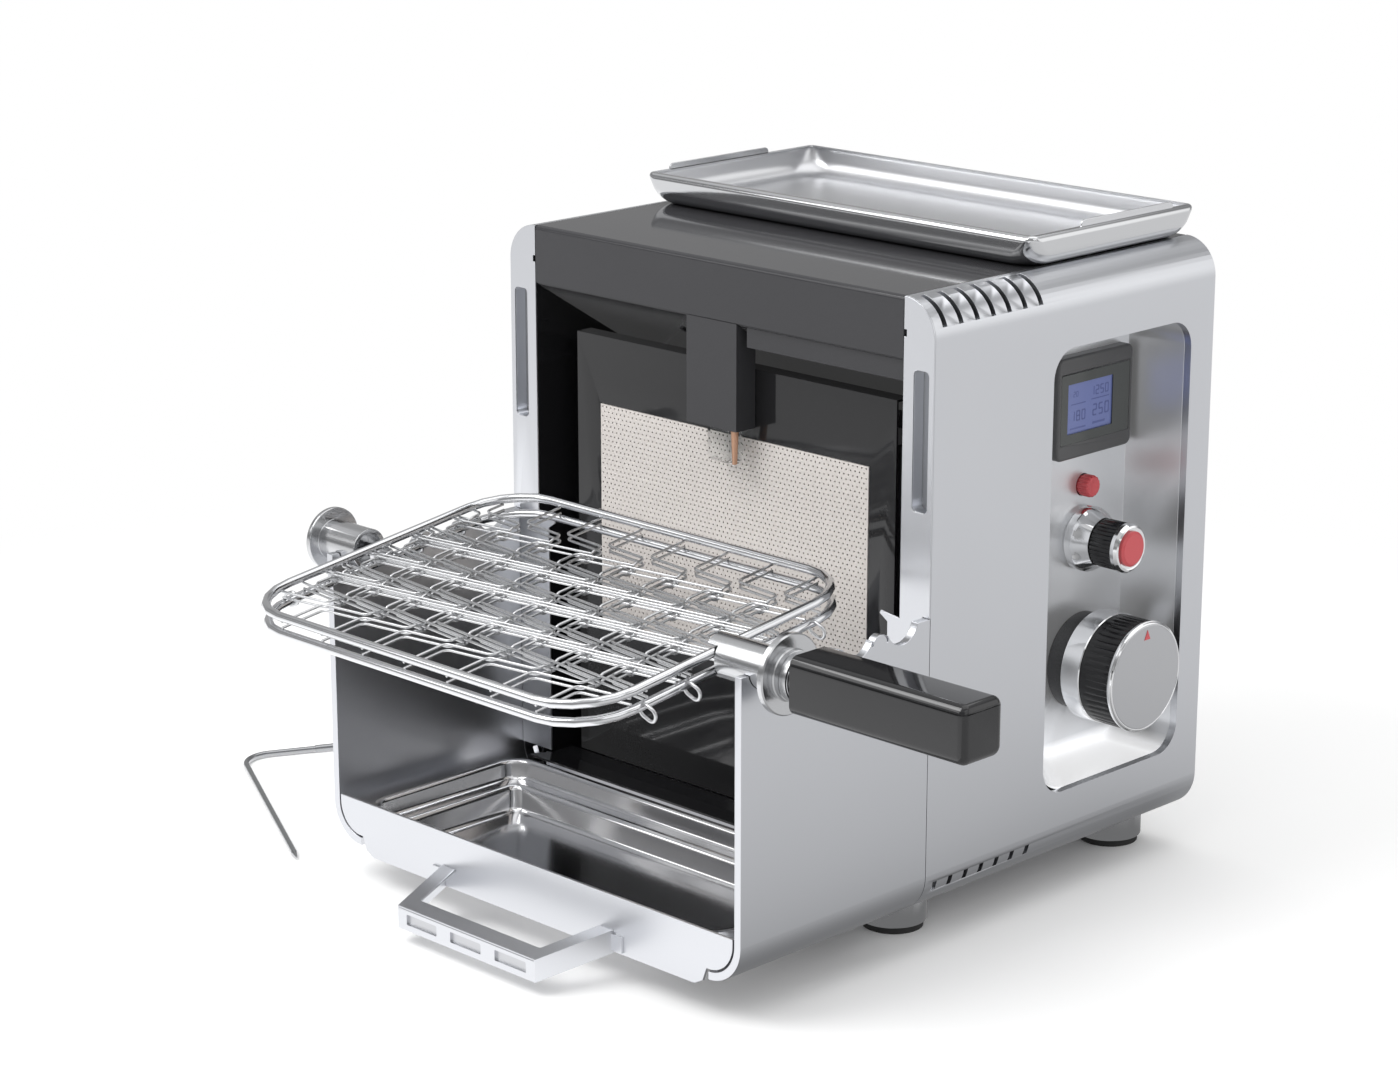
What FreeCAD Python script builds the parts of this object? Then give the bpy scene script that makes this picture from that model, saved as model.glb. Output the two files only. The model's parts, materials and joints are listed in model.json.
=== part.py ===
import FreeCAD, Part
import math
import os

vec = FreeCAD.Vector

# Millimetres. X runs across the grill, Y from its front to its back, Z up from the floor.
# Until the last section x = 0 is the middle of the body and y = 0 the front of its columns.

# Body
body_width = 350.0
body_depth = 258.5
foot_height = 23.6
body_height = 366.0
body_top = foot_height + body_height
half_width = body_width / 2
shell_sheet = 5.0
top_round = 22.7
bottom_round = 25.0
open_half = half_width - top_round
inner_sheet = 1.5
gap = 0.3

# Porch: the two cheeks in front of the body that carry the basket
porch_depth = 153.4
porch_drop = 184.0
notch_drop = 181.05
notch_radius = 13.0
notch_pitch = 37.5
notch_first = 22.5
notch_count = 4
notch_lip = 5.0

# Columns and the upright slot in each
column_sheet = 1.2
foot_panel_half = 143.0
foot_panel_drop = 192.0
foot_panel_bottom = 340.0
slot_inner = 160.0
slot_outer = 171.4
slot_top_drop = 41.0
slot_bottom_drop = 123.0
slot_depth = 9.4
slot_sheet = 0.8

# Vents in the shell's rounds
vent_count = 7
vent_first = 10.0
vent_pitch = 14.0
vent_width = 3.8

# Header, hood and fire chamber
header_drop = 36.0
hood_slope = 0.615
chamber_depth = 100.0

# Burner
burner_front = 17.0
burner_half = 133.0
burner_drop = 66.0
tile_half = 112.0
tile_top_drop = 109.0
tile_bottom_drop = 254.0
tile_thick = 12.0
plenum_half = 124.0
plenum_top_drop = 96.0
plenum_bottom_drop = 274.0
plenum_back = 60.0
mixer_drop = 250.0

# Igniter
igniter_left = -20.0
igniter_right = 21.5
igniter_back = 16.4
igniter_bottom_drop = 101.5
electrode_x = 16.2
electrode_y = 4.4
electrode_length = 21.0
port_radius = 26.0
port_x = -24.0
port_y = 26.0

# Control pocket in the right wall
pocket_front = 106.5
pocket_back = 237.0
pocket_top_drop = 45.5
pocket_bottom_drop = 319.5
pocket_corner = 18.0
pocket_floor = 127.5
pocket_floor_front = 150.0
control_y = 196.5
bezel_width = 72.0
bezel_height = 63.5
bezel_drop = 97.5
bezel_depth = 7.6
screen_width = 44.5
screen_height = 32.0
screen_drop = 98.0
screen_shift = -4.7
button_drop = 150.2
button_radius = 6.9
button_length = 8.4
button_travel = 2.5
small_knob_drop = 183.6
large_knob_drop = 262.2

# Basket, measured along its own tilted plane
basket_y = -135.0
basket_drop = 181.5
basket_tilt = 7.5
rod_radius = 2.75
side_rod_x = 145.5
end_rod_s = 108.2
rod_corner = 37.0
rod_half_gap = 5.3
wire_radius = 0.75
upper_layer = 1.8
wire_dip = 1.6
mesh_edge = 143.0
column_pitch = 36.0
row_pitch = 34.3
row_first = 77.0
row_first_back = 79.0
row_rise = 3.5
row_count = 5
wire_bend = 4.0

# Hubs and grip
hub_radius = 12.5
hub_bore = 10.0
hub_inner_x = 140.0
seat_start = 160.6
seat_end = 175.7
seat_radius = 10.6
disc_x = 190.0
disc_thick = 4.0
disc_radius = 23.0
left_hub_inner_x = 157.0
left_hub_cup = 13.0
pin_radius = 4.0
pin_end = 186.0
left_disc_radius = 19.5
grip_start = 208.0
grip_end = 330.0
grip_width = 32.0
grip_height = 33.0

# Drip drawer
drawer_top_drop = 337.0
drawer_bottom_drop = 371.5
drawer_sheet = 2.0
pan_half = 149.0
pan_back = -24.0
pan_rim_drop = 340.0
pan_step = 13.0
pan_ledge = 12.0
pan_well = 16.5
pan_sheet = 1.2
handle_reach = 48.0
handle_front_half = 59.5
handle_root_half = 74.0
handle_height = 14.0
handle_root_drop = 358.0
handle_front_drop = 366.6
handle_sheet = 2.0

# Feet
foot_x = 128.0
foot_front_y = 26.0
foot_back_y = 232.5
foot_radius = 20.5
pad_radius = 18.5
pad_height = 4.0

# Top tray
tray_half = 160.0
tray_front = 102.0
tray_back = 258.0
tray_corner = 19.0
tray_height = 20.0
tray_sheet = 1.0
tray_bottom_round = 10.5
tray_shoulder = 4.0
tray_mouth = 4.6
tray_lip_height = 3.5

# Core temperature probe, lying on the floor beside the body
probe_radius = 2.0
probe_axis_z = 2.5
probe_bend = 20.0
probe_corner = (-383.0, -65.0)
probe_collar_end = (-355.0, -11.0)
probe_tip = (-206.0, -160.0)

# Gas and probe connections on the back
inlet_x = 82.0
inlet_drop = 259.0
inlet_radius = 6.58
inlet_length = 14.0
socket_x = -110.0
socket_drop = 300.0
socket_radius = 1.78


def below_top(drop):
    return body_top - drop


def box(x0, x1, y0, y1, z0, z1):
    return Part.makeBox(x1 - x0, y1 - y0, z1 - z0, vec(x0, y0, z0))


def rod(x, y, z, direction, radius, length):
    return Part.makeCylinder(radius, length, vec(x, y, z), direction)


def tube(x, y, z, direction, outer, inner, length):
    return rod(x, y, z, direction, outer, length).cut(rod(x, y, z, direction, inner, length))


def joined(shapes):
    return shapes[0].multiFuse(shapes[1:]).removeSplitter() if len(shapes) > 1 else shapes[0]


def group(shapes):
    return Part.makeCompound(shapes)


def mirrored(shape):
    return shape.mirror(vec(0, 0, 0), vec(1, 0, 0))


# Straight runs joined by tangent arcs, one radius per corner
def rounded_edges(points, radii, closed):
    count = len(points)
    corners = []
    for index, here in enumerate(points):
        radius = radii[index]
        if radius == 0 or (not closed and index in (0, count - 1)):
            corners.append((here, None, here))
            continue
        back = (points[index - 1] - here).normalize()
        ahead = (points[(index + 1) % count] - here).normalize()
        half_angle = back.getAngle(ahead) / 2
        if half_angle > 1.569:
            continue
        reach = radius / math.tan(half_angle)
        inward = (back + ahead).normalize()
        middle = here + inward * (radius / math.sin(half_angle) - radius)
        corners.append((here + back * reach, middle, here + ahead * reach))
    edges = []
    for index, (start, middle, end) in enumerate(corners):
        if middle is not None:
            edges.append(Part.Arc(start, middle, end).toShape())
        if index < len(corners) - 1 or closed:
            following = corners[(index + 1) % len(corners)][0]
            if end.distanceToPoint(following) > 1e-4:
                edges.append(Part.makeLine(end, following))
    return edges


# A sheet or block from an outline of (a, b) or (a, b, corner radius) points in one plane
def prism(points, place, along):
    corners = [place(point[0], point[1]) for point in points]
    radii = [point[2] if len(point) > 2 else 0 for point in points]
    face = Part.Face(Part.Wire(rounded_edges(corners, radii, True)))
    return face.extrude(along)


def prism_xz(points, y0, y1):
    return prism(points, lambda a, b: vec(a, y0, b), vec(0, y1 - y0, 0))


def prism_yz(points, x0, x1):
    return prism(points, lambda a, b: vec(x0, a, b), vec(x1 - x0, 0, 0))


def prism_xy(points, z0, z1):
    return prism(points, lambda a, b: vec(a, b, z0), vec(0, 0, z1 - z0))


def round_rectangle(a0, a1, b0, b1, radius):
    return [(a0, b0, radius), (a1, b0, radius), (a1, b1, radius), (a0, b1, radius)]


# Round wire or rod bent through the points, with tighter bends where a run is short
def bent_rod(points, bend, radius):
    bends = [0] * len(points)
    for index in range(1, len(points) - 1):
        back = points[index - 1] - points[index]
        ahead = points[index + 1] - points[index]
        room = 0.49 * min(back.Length, ahead.Length)
        bends[index] = min(bend, room * math.tan(back.getAngle(ahead) / 2))
    path = Part.Wire(rounded_edges(points, bends, False))
    ring = Part.Wire(Part.makeCircle(radius, points[0], points[1] - points[0]))
    return path.makePipeShell([ring], True, False)


# Turned piece along +X: pairs of (x, radius)
def turned(pairs, y, z):
    x_start = pairs[0][0]
    x_end = pairs[-1][0]
    points = [vec(x_start, y, z)] + [vec(x, y, z + radius) for x, radius in pairs] + [vec(x_end, y, z)]
    face = Part.Face(Part.makePolygon(points + [points[0]]))
    return face.revolve(vec(x_start, y, z), vec(1, 0, 0), 360)


# Ribbed ring: an even star outline between two radii
def ribbed(x0, x1, y, z, outer, inner, ribs):
    points = []
    for index in range(ribs * 4):
        angle = 2 * math.pi * index / (ribs * 4)
        radius = outer if index % 4 in (0, 1) else inner
        points.append(vec(x0, y + radius * math.cos(angle), z + radius * math.sin(angle)))
    face = Part.Face(Part.makePolygon(points + [points[0]]))
    return face.extrude(vec(x1 - x0, 0, 0))


# Shells and columns

def shell_profile(y0, y1):
    inner = half_width - shell_sheet
    outside = [
        (open_half, body_top), (half_width, body_top, top_round), (half_width, foot_height, bottom_round),
        (half_width - bottom_round, foot_height), (half_width - bottom_round, foot_height + shell_sheet),
        (inner, foot_height + shell_sheet, bottom_round - shell_sheet),
        (inner, body_top - shell_sheet, top_round - shell_sheet), (open_half, body_top - shell_sheet),
    ]
    return prism_xz(outside, y0, y1)


def notch_cutter():
    top = below_top(porch_drop)
    centre_z = below_top(notch_drop)
    cutters = [box(open_half - 1, half_width + 10, -porch_depth - 10, column_sheet, top, body_top + 10)]
    for index in range(notch_count):
        y = -notch_first - notch_pitch * index
        cutters.append(rod(half_width - 20, y, centre_z, vec(1, 0, 0), notch_radius, 30))
    return joined(cutters)


# The humps between two notches are rounded off
def hump_cutter():
    top = below_top(porch_drop)
    half_hump = notch_pitch / 2 - notch_radius
    pieces = []
    for index in range(notch_count + 1):
        y = -notch_first + notch_pitch / 2 - notch_pitch * index
        if index in (0, notch_count):
            continue
        corner = box(half_width - 20, half_width + 10, y - half_hump - 1, y + half_hump + 1, top - half_hump, top + 1)
        pieces.append(corner.cut(rod(half_width - 20, y, top - half_hump, vec(1, 0, 0), half_hump, 30)))
    return group(pieces)


def top_vent_cutter():
    cutters = []
    for index in range(vent_count):
        y = vent_first + vent_pitch * index
        cutters.append(box(open_half + 4, half_width + 1, y - vent_width / 2, y + vent_width / 2,
                           below_top(16), body_top + 1))
    return group(cutters)


def bottom_vent_cutter():
    cutters = []
    for index in range(vent_count):
        y = vent_first + vent_pitch * index
        cutters.append(box(half_width - 12, half_width + 1, y - vent_width / 2, y + vent_width / 2,
                           below_top(352), below_top(346)))
    return group(cutters)


def pocket_outline(grow):
    return [
        (half_width, pocket_front - grow), (pocket_floor - grow, pocket_floor_front - grow),
        (pocket_floor - grow, pocket_back + grow), (half_width, pocket_back + grow),
    ]


def window_cutter():
    points = round_rectangle(pocket_front, pocket_back, below_top(pocket_bottom_drop), below_top(pocket_top_drop),
                             pocket_corner)
    return prism_yz(points, half_width - 20, half_width + 1)


def side_shell():
    shell = shell_profile(column_sheet, body_depth)
    shell = shell.cut(top_vent_cutter()).cut(bottom_vent_cutter())
    return shell.cut(slot_block(slot_sheet + gap, column_sheet - 0.1, slot_depth + 2.2))


# The porch wall is the same bent sheet, lower, with notches along its top edge
def cheek():
    wall = shell_profile(-porch_depth, column_sheet - 0.25)
    return wall.cut(notch_cutter()).cut(hump_cutter())


def slot_block(grow, y0, y1):
    points = round_rectangle(slot_inner - grow, slot_outer + grow, below_top(slot_bottom_drop) - grow,
                             below_top(slot_top_drop) + grow, 3)
    return prism_xz(points, y0, y1)


def column_plate():
    inner_wall = half_width - shell_sheet - gap
    top = body_top
    points = [
        (open_half, top), (half_width, top, top_round), (half_width, below_top(porch_drop) + gap),
        (inner_wall, below_top(porch_drop) + gap), (inner_wall, below_top(foot_panel_bottom)),
        (foot_panel_half, below_top(foot_panel_bottom)), (foot_panel_half, below_top(foot_panel_drop)),
        (foot_panel_half - 6, below_top(foot_panel_drop - 4)), (foot_panel_half - 5, below_top(foot_panel_drop - 6)),
        (open_half, below_top(foot_panel_drop - 4)),
    ]
    plate = prism_xz(points, 0, column_sheet)
    nick = box(open_half - 1, open_half + 2, -1, column_sheet + 1, below_top(23), below_top(19))
    return plate.cut(nick).cut(slot_block(0, -1, column_sheet + 1))


def slot_pocket():
    back = slot_depth + slot_sheet
    return slot_block(slot_sheet, column_sheet + 0.05, back).cut(slot_block(0, 0, slot_depth))


# Sheet parts between the shells

def top_cover():
    back = body_depth - 0.7
    points = [
        (back, body_top), (0, body_top, 3), (0, below_top(header_drop)), (inner_sheet, below_top(header_drop)),
        (inner_sheet, body_top - inner_sheet, 1.5), (back - inner_sheet, body_top - inner_sheet),
        (back - inner_sheet, body_top - 14), (back, body_top - 14),
    ]
    return prism_yz(points, -open_half + gap, open_half - gap)


def hood_ceiling():
    start = inner_sheet + 0.1
    end = chamber_depth + inner_sheet
    z_start = below_top(header_drop + hood_slope * start)
    z_end = below_top(header_drop + hood_slope * end)
    points = [(start, z_start), (end, z_end), (end, z_end + inner_sheet), (start, z_start + inner_sheet)]
    sheet = prism_yz(points, -open_half + gap, open_half - gap)
    ledge = box(igniter_right + 6, open_half - gap, 2.5, 7.5, below_top(49.5), below_top(header_drop))
    slope_line = [(0, below_top(header_drop)), (20, below_top(header_drop + hood_slope * 20)),
                  (20, body_top), (0, body_top)]
    return sheet.fuse(ledge.cut(prism_yz(slope_line, -half_width, half_width))).removeSplitter()


def side_liner():
    return box(open_half, open_half + inner_sheet, column_sheet + gap, chamber_depth, foot_height + 6,
               body_top - shell_sheet - 0.5)


def chamber_back():
    plate = box(-open_half + gap, open_half - gap, chamber_depth + inner_sheet + 0.1,
                chamber_depth + 2 * inner_sheet, foot_height + shell_sheet + gap,
                below_top(header_drop + hood_slope * chamber_depth))
    hole = rod(0, chamber_depth - 5, below_top(mixer_drop), vec(0, 1, 0), 15.6, 20)
    return plate.cut(hole)


def rear_panel():
    side = half_width - shell_sheet - gap
    points = [
        (-side, foot_height + 5.3, 19.7), (side, foot_height + 5.3, 19.7),
        (side, body_top - 5.3, 17.4), (-side, body_top - 5.3, 17.4),
    ]
    panel = prism_xz(points, body_depth - 5.0, body_depth - 3.0)
    inlet = rod(inlet_x, body_depth - 6, below_top(inlet_drop), vec(0, 1, 0), inlet_radius + 0.4, 6)
    socket = rod(socket_x, body_depth - 6, below_top(socket_drop), vec(0, 1, 0), 4.1, 6)
    panel = panel.cut(inlet).cut(socket)
    for x, z in rear_screw_places():
        panel = panel.cut(rod(x, body_depth - 6, z, vec(0, 1, 0), 2.1, 6))
    for row in range(6):
        z = below_top(70 + 12 * row)
        slot = prism_xz(round_rectangle(-60, 60, z - 2, z + 2, 1.9), body_depth - 6, body_depth - 2)
        panel = panel.cut(slot)
    return panel


def rear_screw_places():
    heights = (below_top(25), below_top(185), below_top(345))
    return [(side * 155.0, z) for side in (-1, 1) for z in heights]


def rear_screws():
    screws = []
    for x, z in rear_screw_places():
        head = rod(x, body_depth - 3.0, z, vec(0, 1, 0), 3.6, 2.2)
        shank = rod(x, body_depth - 9.0, z, vec(0, 1, 0), 2.0, 6.0)
        drive = rod(x, body_depth - 1.6, z, vec(0, 1, 0), 1.4, 2.0)
        screws.append(head.fuse(shank).cut(drive))
    return group(screws)


def base_plate():
    half = half_width - bottom_round - gap
    floor = box(-half, half, column_sheet + gap, body_depth - 0.7, foot_height, foot_height + inner_sheet)
    front = box(-half, half, column_sheet + gap, column_sheet + gap + inner_sheet, foot_height, below_top(343))
    plate = floor.fuse(front).removeSplitter()
    for x, y in foot_places():
        plate = plate.cut(rod(x, y, foot_height - 1, vec(0, 0, 1), 4.1, 5))
    return plate


# Fire chamber

def burner_frame():
    plate = box(-burner_half, burner_half, burner_front, burner_front + inner_sheet,
                below_top(foot_panel_bottom), below_top(burner_drop))
    window = box(-tile_half - gap, tile_half + gap, burner_front - 1, burner_front + 5,
                 below_top(tile_bottom_drop) - gap, below_top(tile_top_drop) + gap)
    lip = box(-burner_half, burner_half, burner_front + inner_sheet, burner_front + 12,
              below_top(burner_drop) - inner_sheet, below_top(burner_drop))
    return plate.cut(window).fuse(lip).removeSplitter()


def burner_tile():
    return box(-tile_half, tile_half, burner_front - 0.2, burner_front + tile_thick,
               below_top(tile_bottom_drop), below_top(tile_top_drop))


def burner_box():
    front = burner_front + inner_sheet + 0.05
    brackets = burner_brackets()
    outer = box(-plenum_half, plenum_half, front, plenum_back, below_top(plenum_bottom_drop),
                below_top(plenum_top_drop))
    inner = box(-plenum_half + inner_sheet, plenum_half - inner_sheet, front - 1, plenum_back - inner_sheet,
                below_top(plenum_bottom_drop) + inner_sheet, below_top(plenum_top_drop) - inner_sheet)
    hole = rod(0, plenum_back - 5, below_top(mixer_drop), vec(0, 1, 0), 15.05, 10)
    return joined([outer.cut(inner).cut(hole)] + brackets)


def mixing_tube():
    z = below_top(mixer_drop)
    points = [vec(0, plenum_back - inner_sheet, z), vec(0, control_y, z), vec(52, control_y, z)]
    return bent_rod(points, 34, 15).cut(bent_rod(points, 34, 13.5))


def burner_brackets():
    brackets = []
    for x in (-90, 90):
        brackets.append(box(x - 8, x + 8, plenum_back - 0.5, chamber_depth + inner_sheet,
                            below_top(130), below_top(128)))
    return brackets


def drip_apron():
    inner = foot_panel_half - 1
    back = burner_front
    points = [
        (back, below_top(340.5)), (back, below_top(342)), (column_sheet, below_top(342.4)),
        (-20, below_top(338.8)), (-20, below_top(337.3)), (column_sheet, below_top(340.9)),
    ]
    return prism_yz(points, -inner, inner)


def igniter_box():
    def outline(grow):
        low = below_top(igniter_bottom_drop) + grow
        back = igniter_back if grow == 0 else igniter_back + 1
        return [
            (grow, below_top(header_drop + 0.1) - grow * 1.2), (grow, low), (back, low),
            (back, below_top(header_drop + 0.3 + hood_slope * back) - grow * 1.2),
        ]
    shell = prism_yz(outline(0), igniter_left, igniter_right)
    hollow = prism_yz(outline(inner_sheet), igniter_left + inner_sheet, igniter_right - inner_sheet)
    shell = shell.cut(hollow)
    shell = shell.cut(rod(electrode_x, electrode_y, below_top(igniter_bottom_drop + 3), vec(0, 0, 1), 2.5, 8))
    return shell


def spark_electrode():
    bottom = below_top(igniter_bottom_drop)
    pin = Part.makeCone(1.5, 2.4, electrode_length, vec(electrode_x, electrode_y, bottom - electrode_length),
                        vec(0, 0, 1))
    stem = rod(electrode_x, electrode_y, bottom, vec(0, 0, 1), 2.4, 12.0)
    return pin.fuse(stem).removeSplitter()


def sight_glass():
    bottom = below_top(igniter_bottom_drop)
    outer = box(-3.5, 13.5, 1.5, 13.5, bottom - 20.5, bottom - 0.05)
    inner = box(-2.3, 12.3, 2.7, 12.3, bottom - 19.3, bottom + 1)
    return outer.cut(inner)


# Curved rim of the port in the hood, following the hood's slope
def port_rim():
    angle = -math.degrees(math.atan(hood_slope))
    ring = tube(0, 0, -2.0, vec(0, 0, 1), port_radius, port_radius - 2.5, 3.5)
    ring = ring.common(box(-port_radius - 1, 2, -1, port_radius + 1, -2, -0.05))
    ring.rotate(vec(0, 0, 0), vec(1, 0, 0), angle)
    ring.translate(vec(port_x, port_y, below_top(header_drop + hood_slope * port_y)))
    return ring


# Control pocket and what sits in it

def control_pocket():
    def block(grow):
        points = [(a, b) for a, b in pocket_outline(grow)]
        if grow == 0:
            points[0] = (half_width + 1, pocket_front - 1)
            points[3] = (half_width + 1, pocket_back)
        solid = prism_xy(points, below_top(pocket_bottom_drop) - grow, below_top(pocket_top_drop) + grow)
        edges = [edge for edge in solid.Edges if abs(edge.tangentAt(edge.FirstParameter).z) < 0.01
                 and abs(edge.CenterOfMass.x - pocket_floor) > 5
                 and abs(edge.CenterOfMass.x - half_width) > 5]
        return solid.makeFillet(pocket_corner + grow - 0.2, edges)
    outer = block(inner_sheet)
    inner = block(0)
    pocket = outer.cut(inner)
    keep = box(0, half_width - shell_sheet - 0.05, 0, body_depth, 0, body_top)
    pocket = pocket.common(keep)
    for drop, radius in ((button_drop, button_radius + 0.06), (small_knob_drop, 4.06), (large_knob_drop, 5.06)):
        pocket = pocket.cut(rod(pocket_floor - 5, control_y, below_top(drop), vec(1, 0, 0), radius, 10))
    cable = rod(pocket_floor - 5, control_y, below_top(bezel_drop), vec(1, 0, 0), 9, 10)
    return pocket.cut(cable)


def display_bezel():
    half = bezel_width / 2
    z = below_top(bezel_drop)
    points = round_rectangle(control_y - half, control_y + half, z - bezel_height / 2, z + bezel_height / 2, 5)
    block = prism_yz(points, pocket_floor, pocket_floor + bezel_depth)
    front_edges = [edge for edge in block.Edges if edge.CenterOfMass.x > pocket_floor + bezel_depth - 0.01]
    block = block.makeFillet(1.6, front_edges)
    face = pocket_floor + bezel_depth
    screen_y = control_y + screen_shift
    frame = box(face - 0.6, face + 1, control_y - 33, control_y + 33, z - 22, z + 22)
    window = box(face - 4, face + 1, screen_y - screen_width / 2, screen_y + screen_width / 2,
                 below_top(screen_drop) - screen_height / 2, below_top(screen_drop) + screen_height / 2)
    cable = rod(pocket_floor - 1, control_y, z, vec(1, 0, 0), 8, 5)
    return block.cut(frame).cut(window).cut(cable)


def display_screen():
    z = below_top(screen_drop)
    half_w = screen_width / 2 - 0.1
    half_h = screen_height / 2 - 0.1
    face = pocket_floor + bezel_depth
    screen_y = control_y + screen_shift
    return box(face - 3.9, face - 1.2, screen_y - half_w, screen_y + half_w, z - half_h, z + half_h)


def control_board():
    z = below_top(bezel_drop)
    board = box(94, 95.6, control_y - 34, control_y + 34, z - 40, z + 34)
    chips = [box(95.6, 98.5, control_y - 20, control_y - 6, z - 10, z + 8),
             box(95.6, 103, control_y + 6, control_y + 22, z - 30, z - 16)]
    cable = rod(95.6, control_y, z, vec(1, 0, 0), 4, pocket_floor + 3.5 - 95.6)
    return joined([board, cable] + chips)


def red_button():
    z = below_top(button_drop)
    flange = button_radius + 1.5
    pairs = [(pocket_floor - 5.0, flange), (pocket_floor - inner_sheet - 0.4, flange),
             (pocket_floor - inner_sheet - 0.4, button_radius), (pocket_floor + button_length - 1, button_radius),
             (pocket_floor + button_length, button_radius - 1)]
    return turned(pairs, control_y, z)


def small_knob_bell():
    base = pocket_floor
    pairs = [(base, 18.4), (base + 2.5, 20.4), (base + 8, 20.4), (base + 17, 15.6)]
    z = below_top(small_knob_drop)
    bell = turned(pairs, control_y, z)
    return bell.cut(rod(base - 1, control_y, z, vec(1, 0, 0), 4.06, 30))


def small_knob_ring():
    z = below_top(small_knob_drop)
    start = pocket_floor + 17.3
    ring = ribbed(start, start + 16.2, control_y, z, 15.0, 14.1, 32)
    return ring.cut(rod(start - 1, control_y, z, vec(1, 0, 0), 4.0, 30))


def small_knob_cap():
    z = below_top(small_knob_drop)
    start = pocket_floor + 33.5
    end = pocket_floor + 39.0
    pairs = [(start, 14.6), (start + 1, 15.5), (end - 2.0, 15.5), (end - 0.6, 14.2), (end - 0.6, 11.2),
             (end - 1.4, 11.2)]
    cap = turned(pairs, control_y, z)
    shaft = rod(pocket_floor - 14, control_y, z, vec(1, 0, 0), 4.0, start - pocket_floor + 14)
    return cap.fuse(shaft).removeSplitter()


def small_knob_disc():
    z = below_top(small_knob_drop)
    end = pocket_floor + 39.0
    return turned([(end - 1.4, 11.0), (end + 0.6, 11.0), (end + 1.8, 9.4)], control_y, z)


def large_knob_base():
    base = pocket_floor
    z = below_top(large_knob_drop)
    solid = turned([(base, 30.5), (base + 13.7, 30.5)], control_y, z)
    return solid.cut(rod(base - 1, control_y, z, vec(1, 0, 0), 5.06, 30))


def large_knob_collar():
    z = below_top(large_knob_drop)
    start = pocket_floor + 14.0
    pairs = [(start, 34.0), (start + 0.8, 34.8), (start + 13.6, 34.8), (start + 14.4, 34.0)]
    return turned(pairs, control_y, z).cut(rod(start - 1, control_y, z, vec(1, 0, 0), 5.0, 30))


def large_knob_grip():
    z = below_top(large_knob_drop)
    start = pocket_floor + 28.4
    ring = ribbed(start, start + 21.6, control_y, z, 34.3, 33.2, 48)
    return ring.cut(rod(start - 1, control_y, z, vec(1, 0, 0), 5.0, 40))


def large_knob_cap():
    z = below_top(large_knob_drop)
    start = pocket_floor + 50.0
    pairs = [(start, 34.2), (start + 0.6, 35.0), (start + 2.0, 35.0), (start + 3.3, 33.4)]
    cap = turned(pairs, control_y, z)
    shaft = rod(pocket_floor - 12, control_y, z, vec(1, 0, 0), 5.0, start - pocket_floor + 12)
    seat = prism_yz(pointer_outline(0.1), start + 2.7, start + 6)
    return cap.fuse(shaft).removeSplitter().cut(seat)


def pointer_outline(grow):
    z = below_top(large_knob_drop)
    return [(control_y - 2.8 - grow, z + 24 - grow), (control_y + 2.8 + grow, z + 24 - grow),
            (control_y, z + 30 + grow)]


def large_knob_pointer():
    start = pocket_floor + 50.0
    return prism_yz(pointer_outline(0), start + 2.7, start + 3.5)


# Gas train and ignition inside the body

def gas_valve():
    z = below_top(large_knob_drop)
    body = box(66, 99, control_y - 16, control_y + 16, z - 17, z + 17)
    nose = rod(99, control_y, z, vec(1, 0, 0), 11, pocket_floor - 2.2 - 99)
    body = body.fuse(nose).cut(rod(96, control_y, z, vec(1, 0, 0), 5.06, 30))
    port = rod(inlet_x, control_y + 10, below_top(inlet_drop), vec(0, 1, 0), 4.02, 10)
    jet = rod(60, control_y, below_top(mixer_drop), vec(1, 0, 0), 3.02, 12)
    return joined([body.cut(port).cut(jet), injector()])


def injector():
    z = below_top(mixer_drop)
    pairs = [(46, 1.6), (52, 3.0), (72, 3.0)]
    return turned(pairs, control_y, z).cut(rod(45, control_y, z, vec(1, 0, 0), 0.6, 30))


def gas_inlet():
    z = below_top(inlet_drop)
    pipe_start = control_y + 10.5
    start = body_depth - 12
    end = body_depth - 3 + 4 + inlet_length
    thread = rod(inlet_x, start, z, vec(0, 1, 0), inlet_radius, end - start)
    pipe = rod(inlet_x, pipe_start, z, vec(0, 1, 0), 4.0, start - pipe_start + 1)
    nut_points = []
    for index in range(6):
        angle = math.pi / 3 * index
        nut_points.append((inlet_x + 11 * math.cos(angle), z + 11 * math.sin(angle)))
    outer_nut = prism_xz(nut_points, body_depth - 2.9, body_depth + 1)
    inner_nut = prism_xz(nut_points, body_depth - 9, body_depth - 5.1)
    fitting = joined([thread, pipe, outer_nut, inner_nut])
    return fitting.cut(rod(inlet_x, pipe_start - 1, z, vec(0, 1, 0), 3.0, end - pipe_start + 2))


def spark_module():
    z = below_top(150)
    block = box(-60, -10, 150, 190, z - 20, z + 20)
    lead = rod(-35, chamber_depth + 3.2, z, vec(0, 1, 0), 3, 150 - chamber_depth - 3.2)
    return block.fuse(lead).removeSplitter()


def probe_socket():
    z = below_top(socket_drop)
    barrel = rod(socket_x, body_depth - 20, z, vec(0, 1, 0), 4.0, 19)
    flange = rod(socket_x, body_depth - 2.9, z, vec(0, 1, 0), 6.0, 1.9)
    jack = rod(socket_x, body_depth - 16, z, vec(0, 1, 0), socket_radius, 20)
    return barrel.fuse(flange).removeSplitter().cut(jack)


# Feet

def foot_places():
    return [(x, y) for x in (-foot_x, foot_x) for y in (foot_front_y, foot_back_y)]


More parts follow.
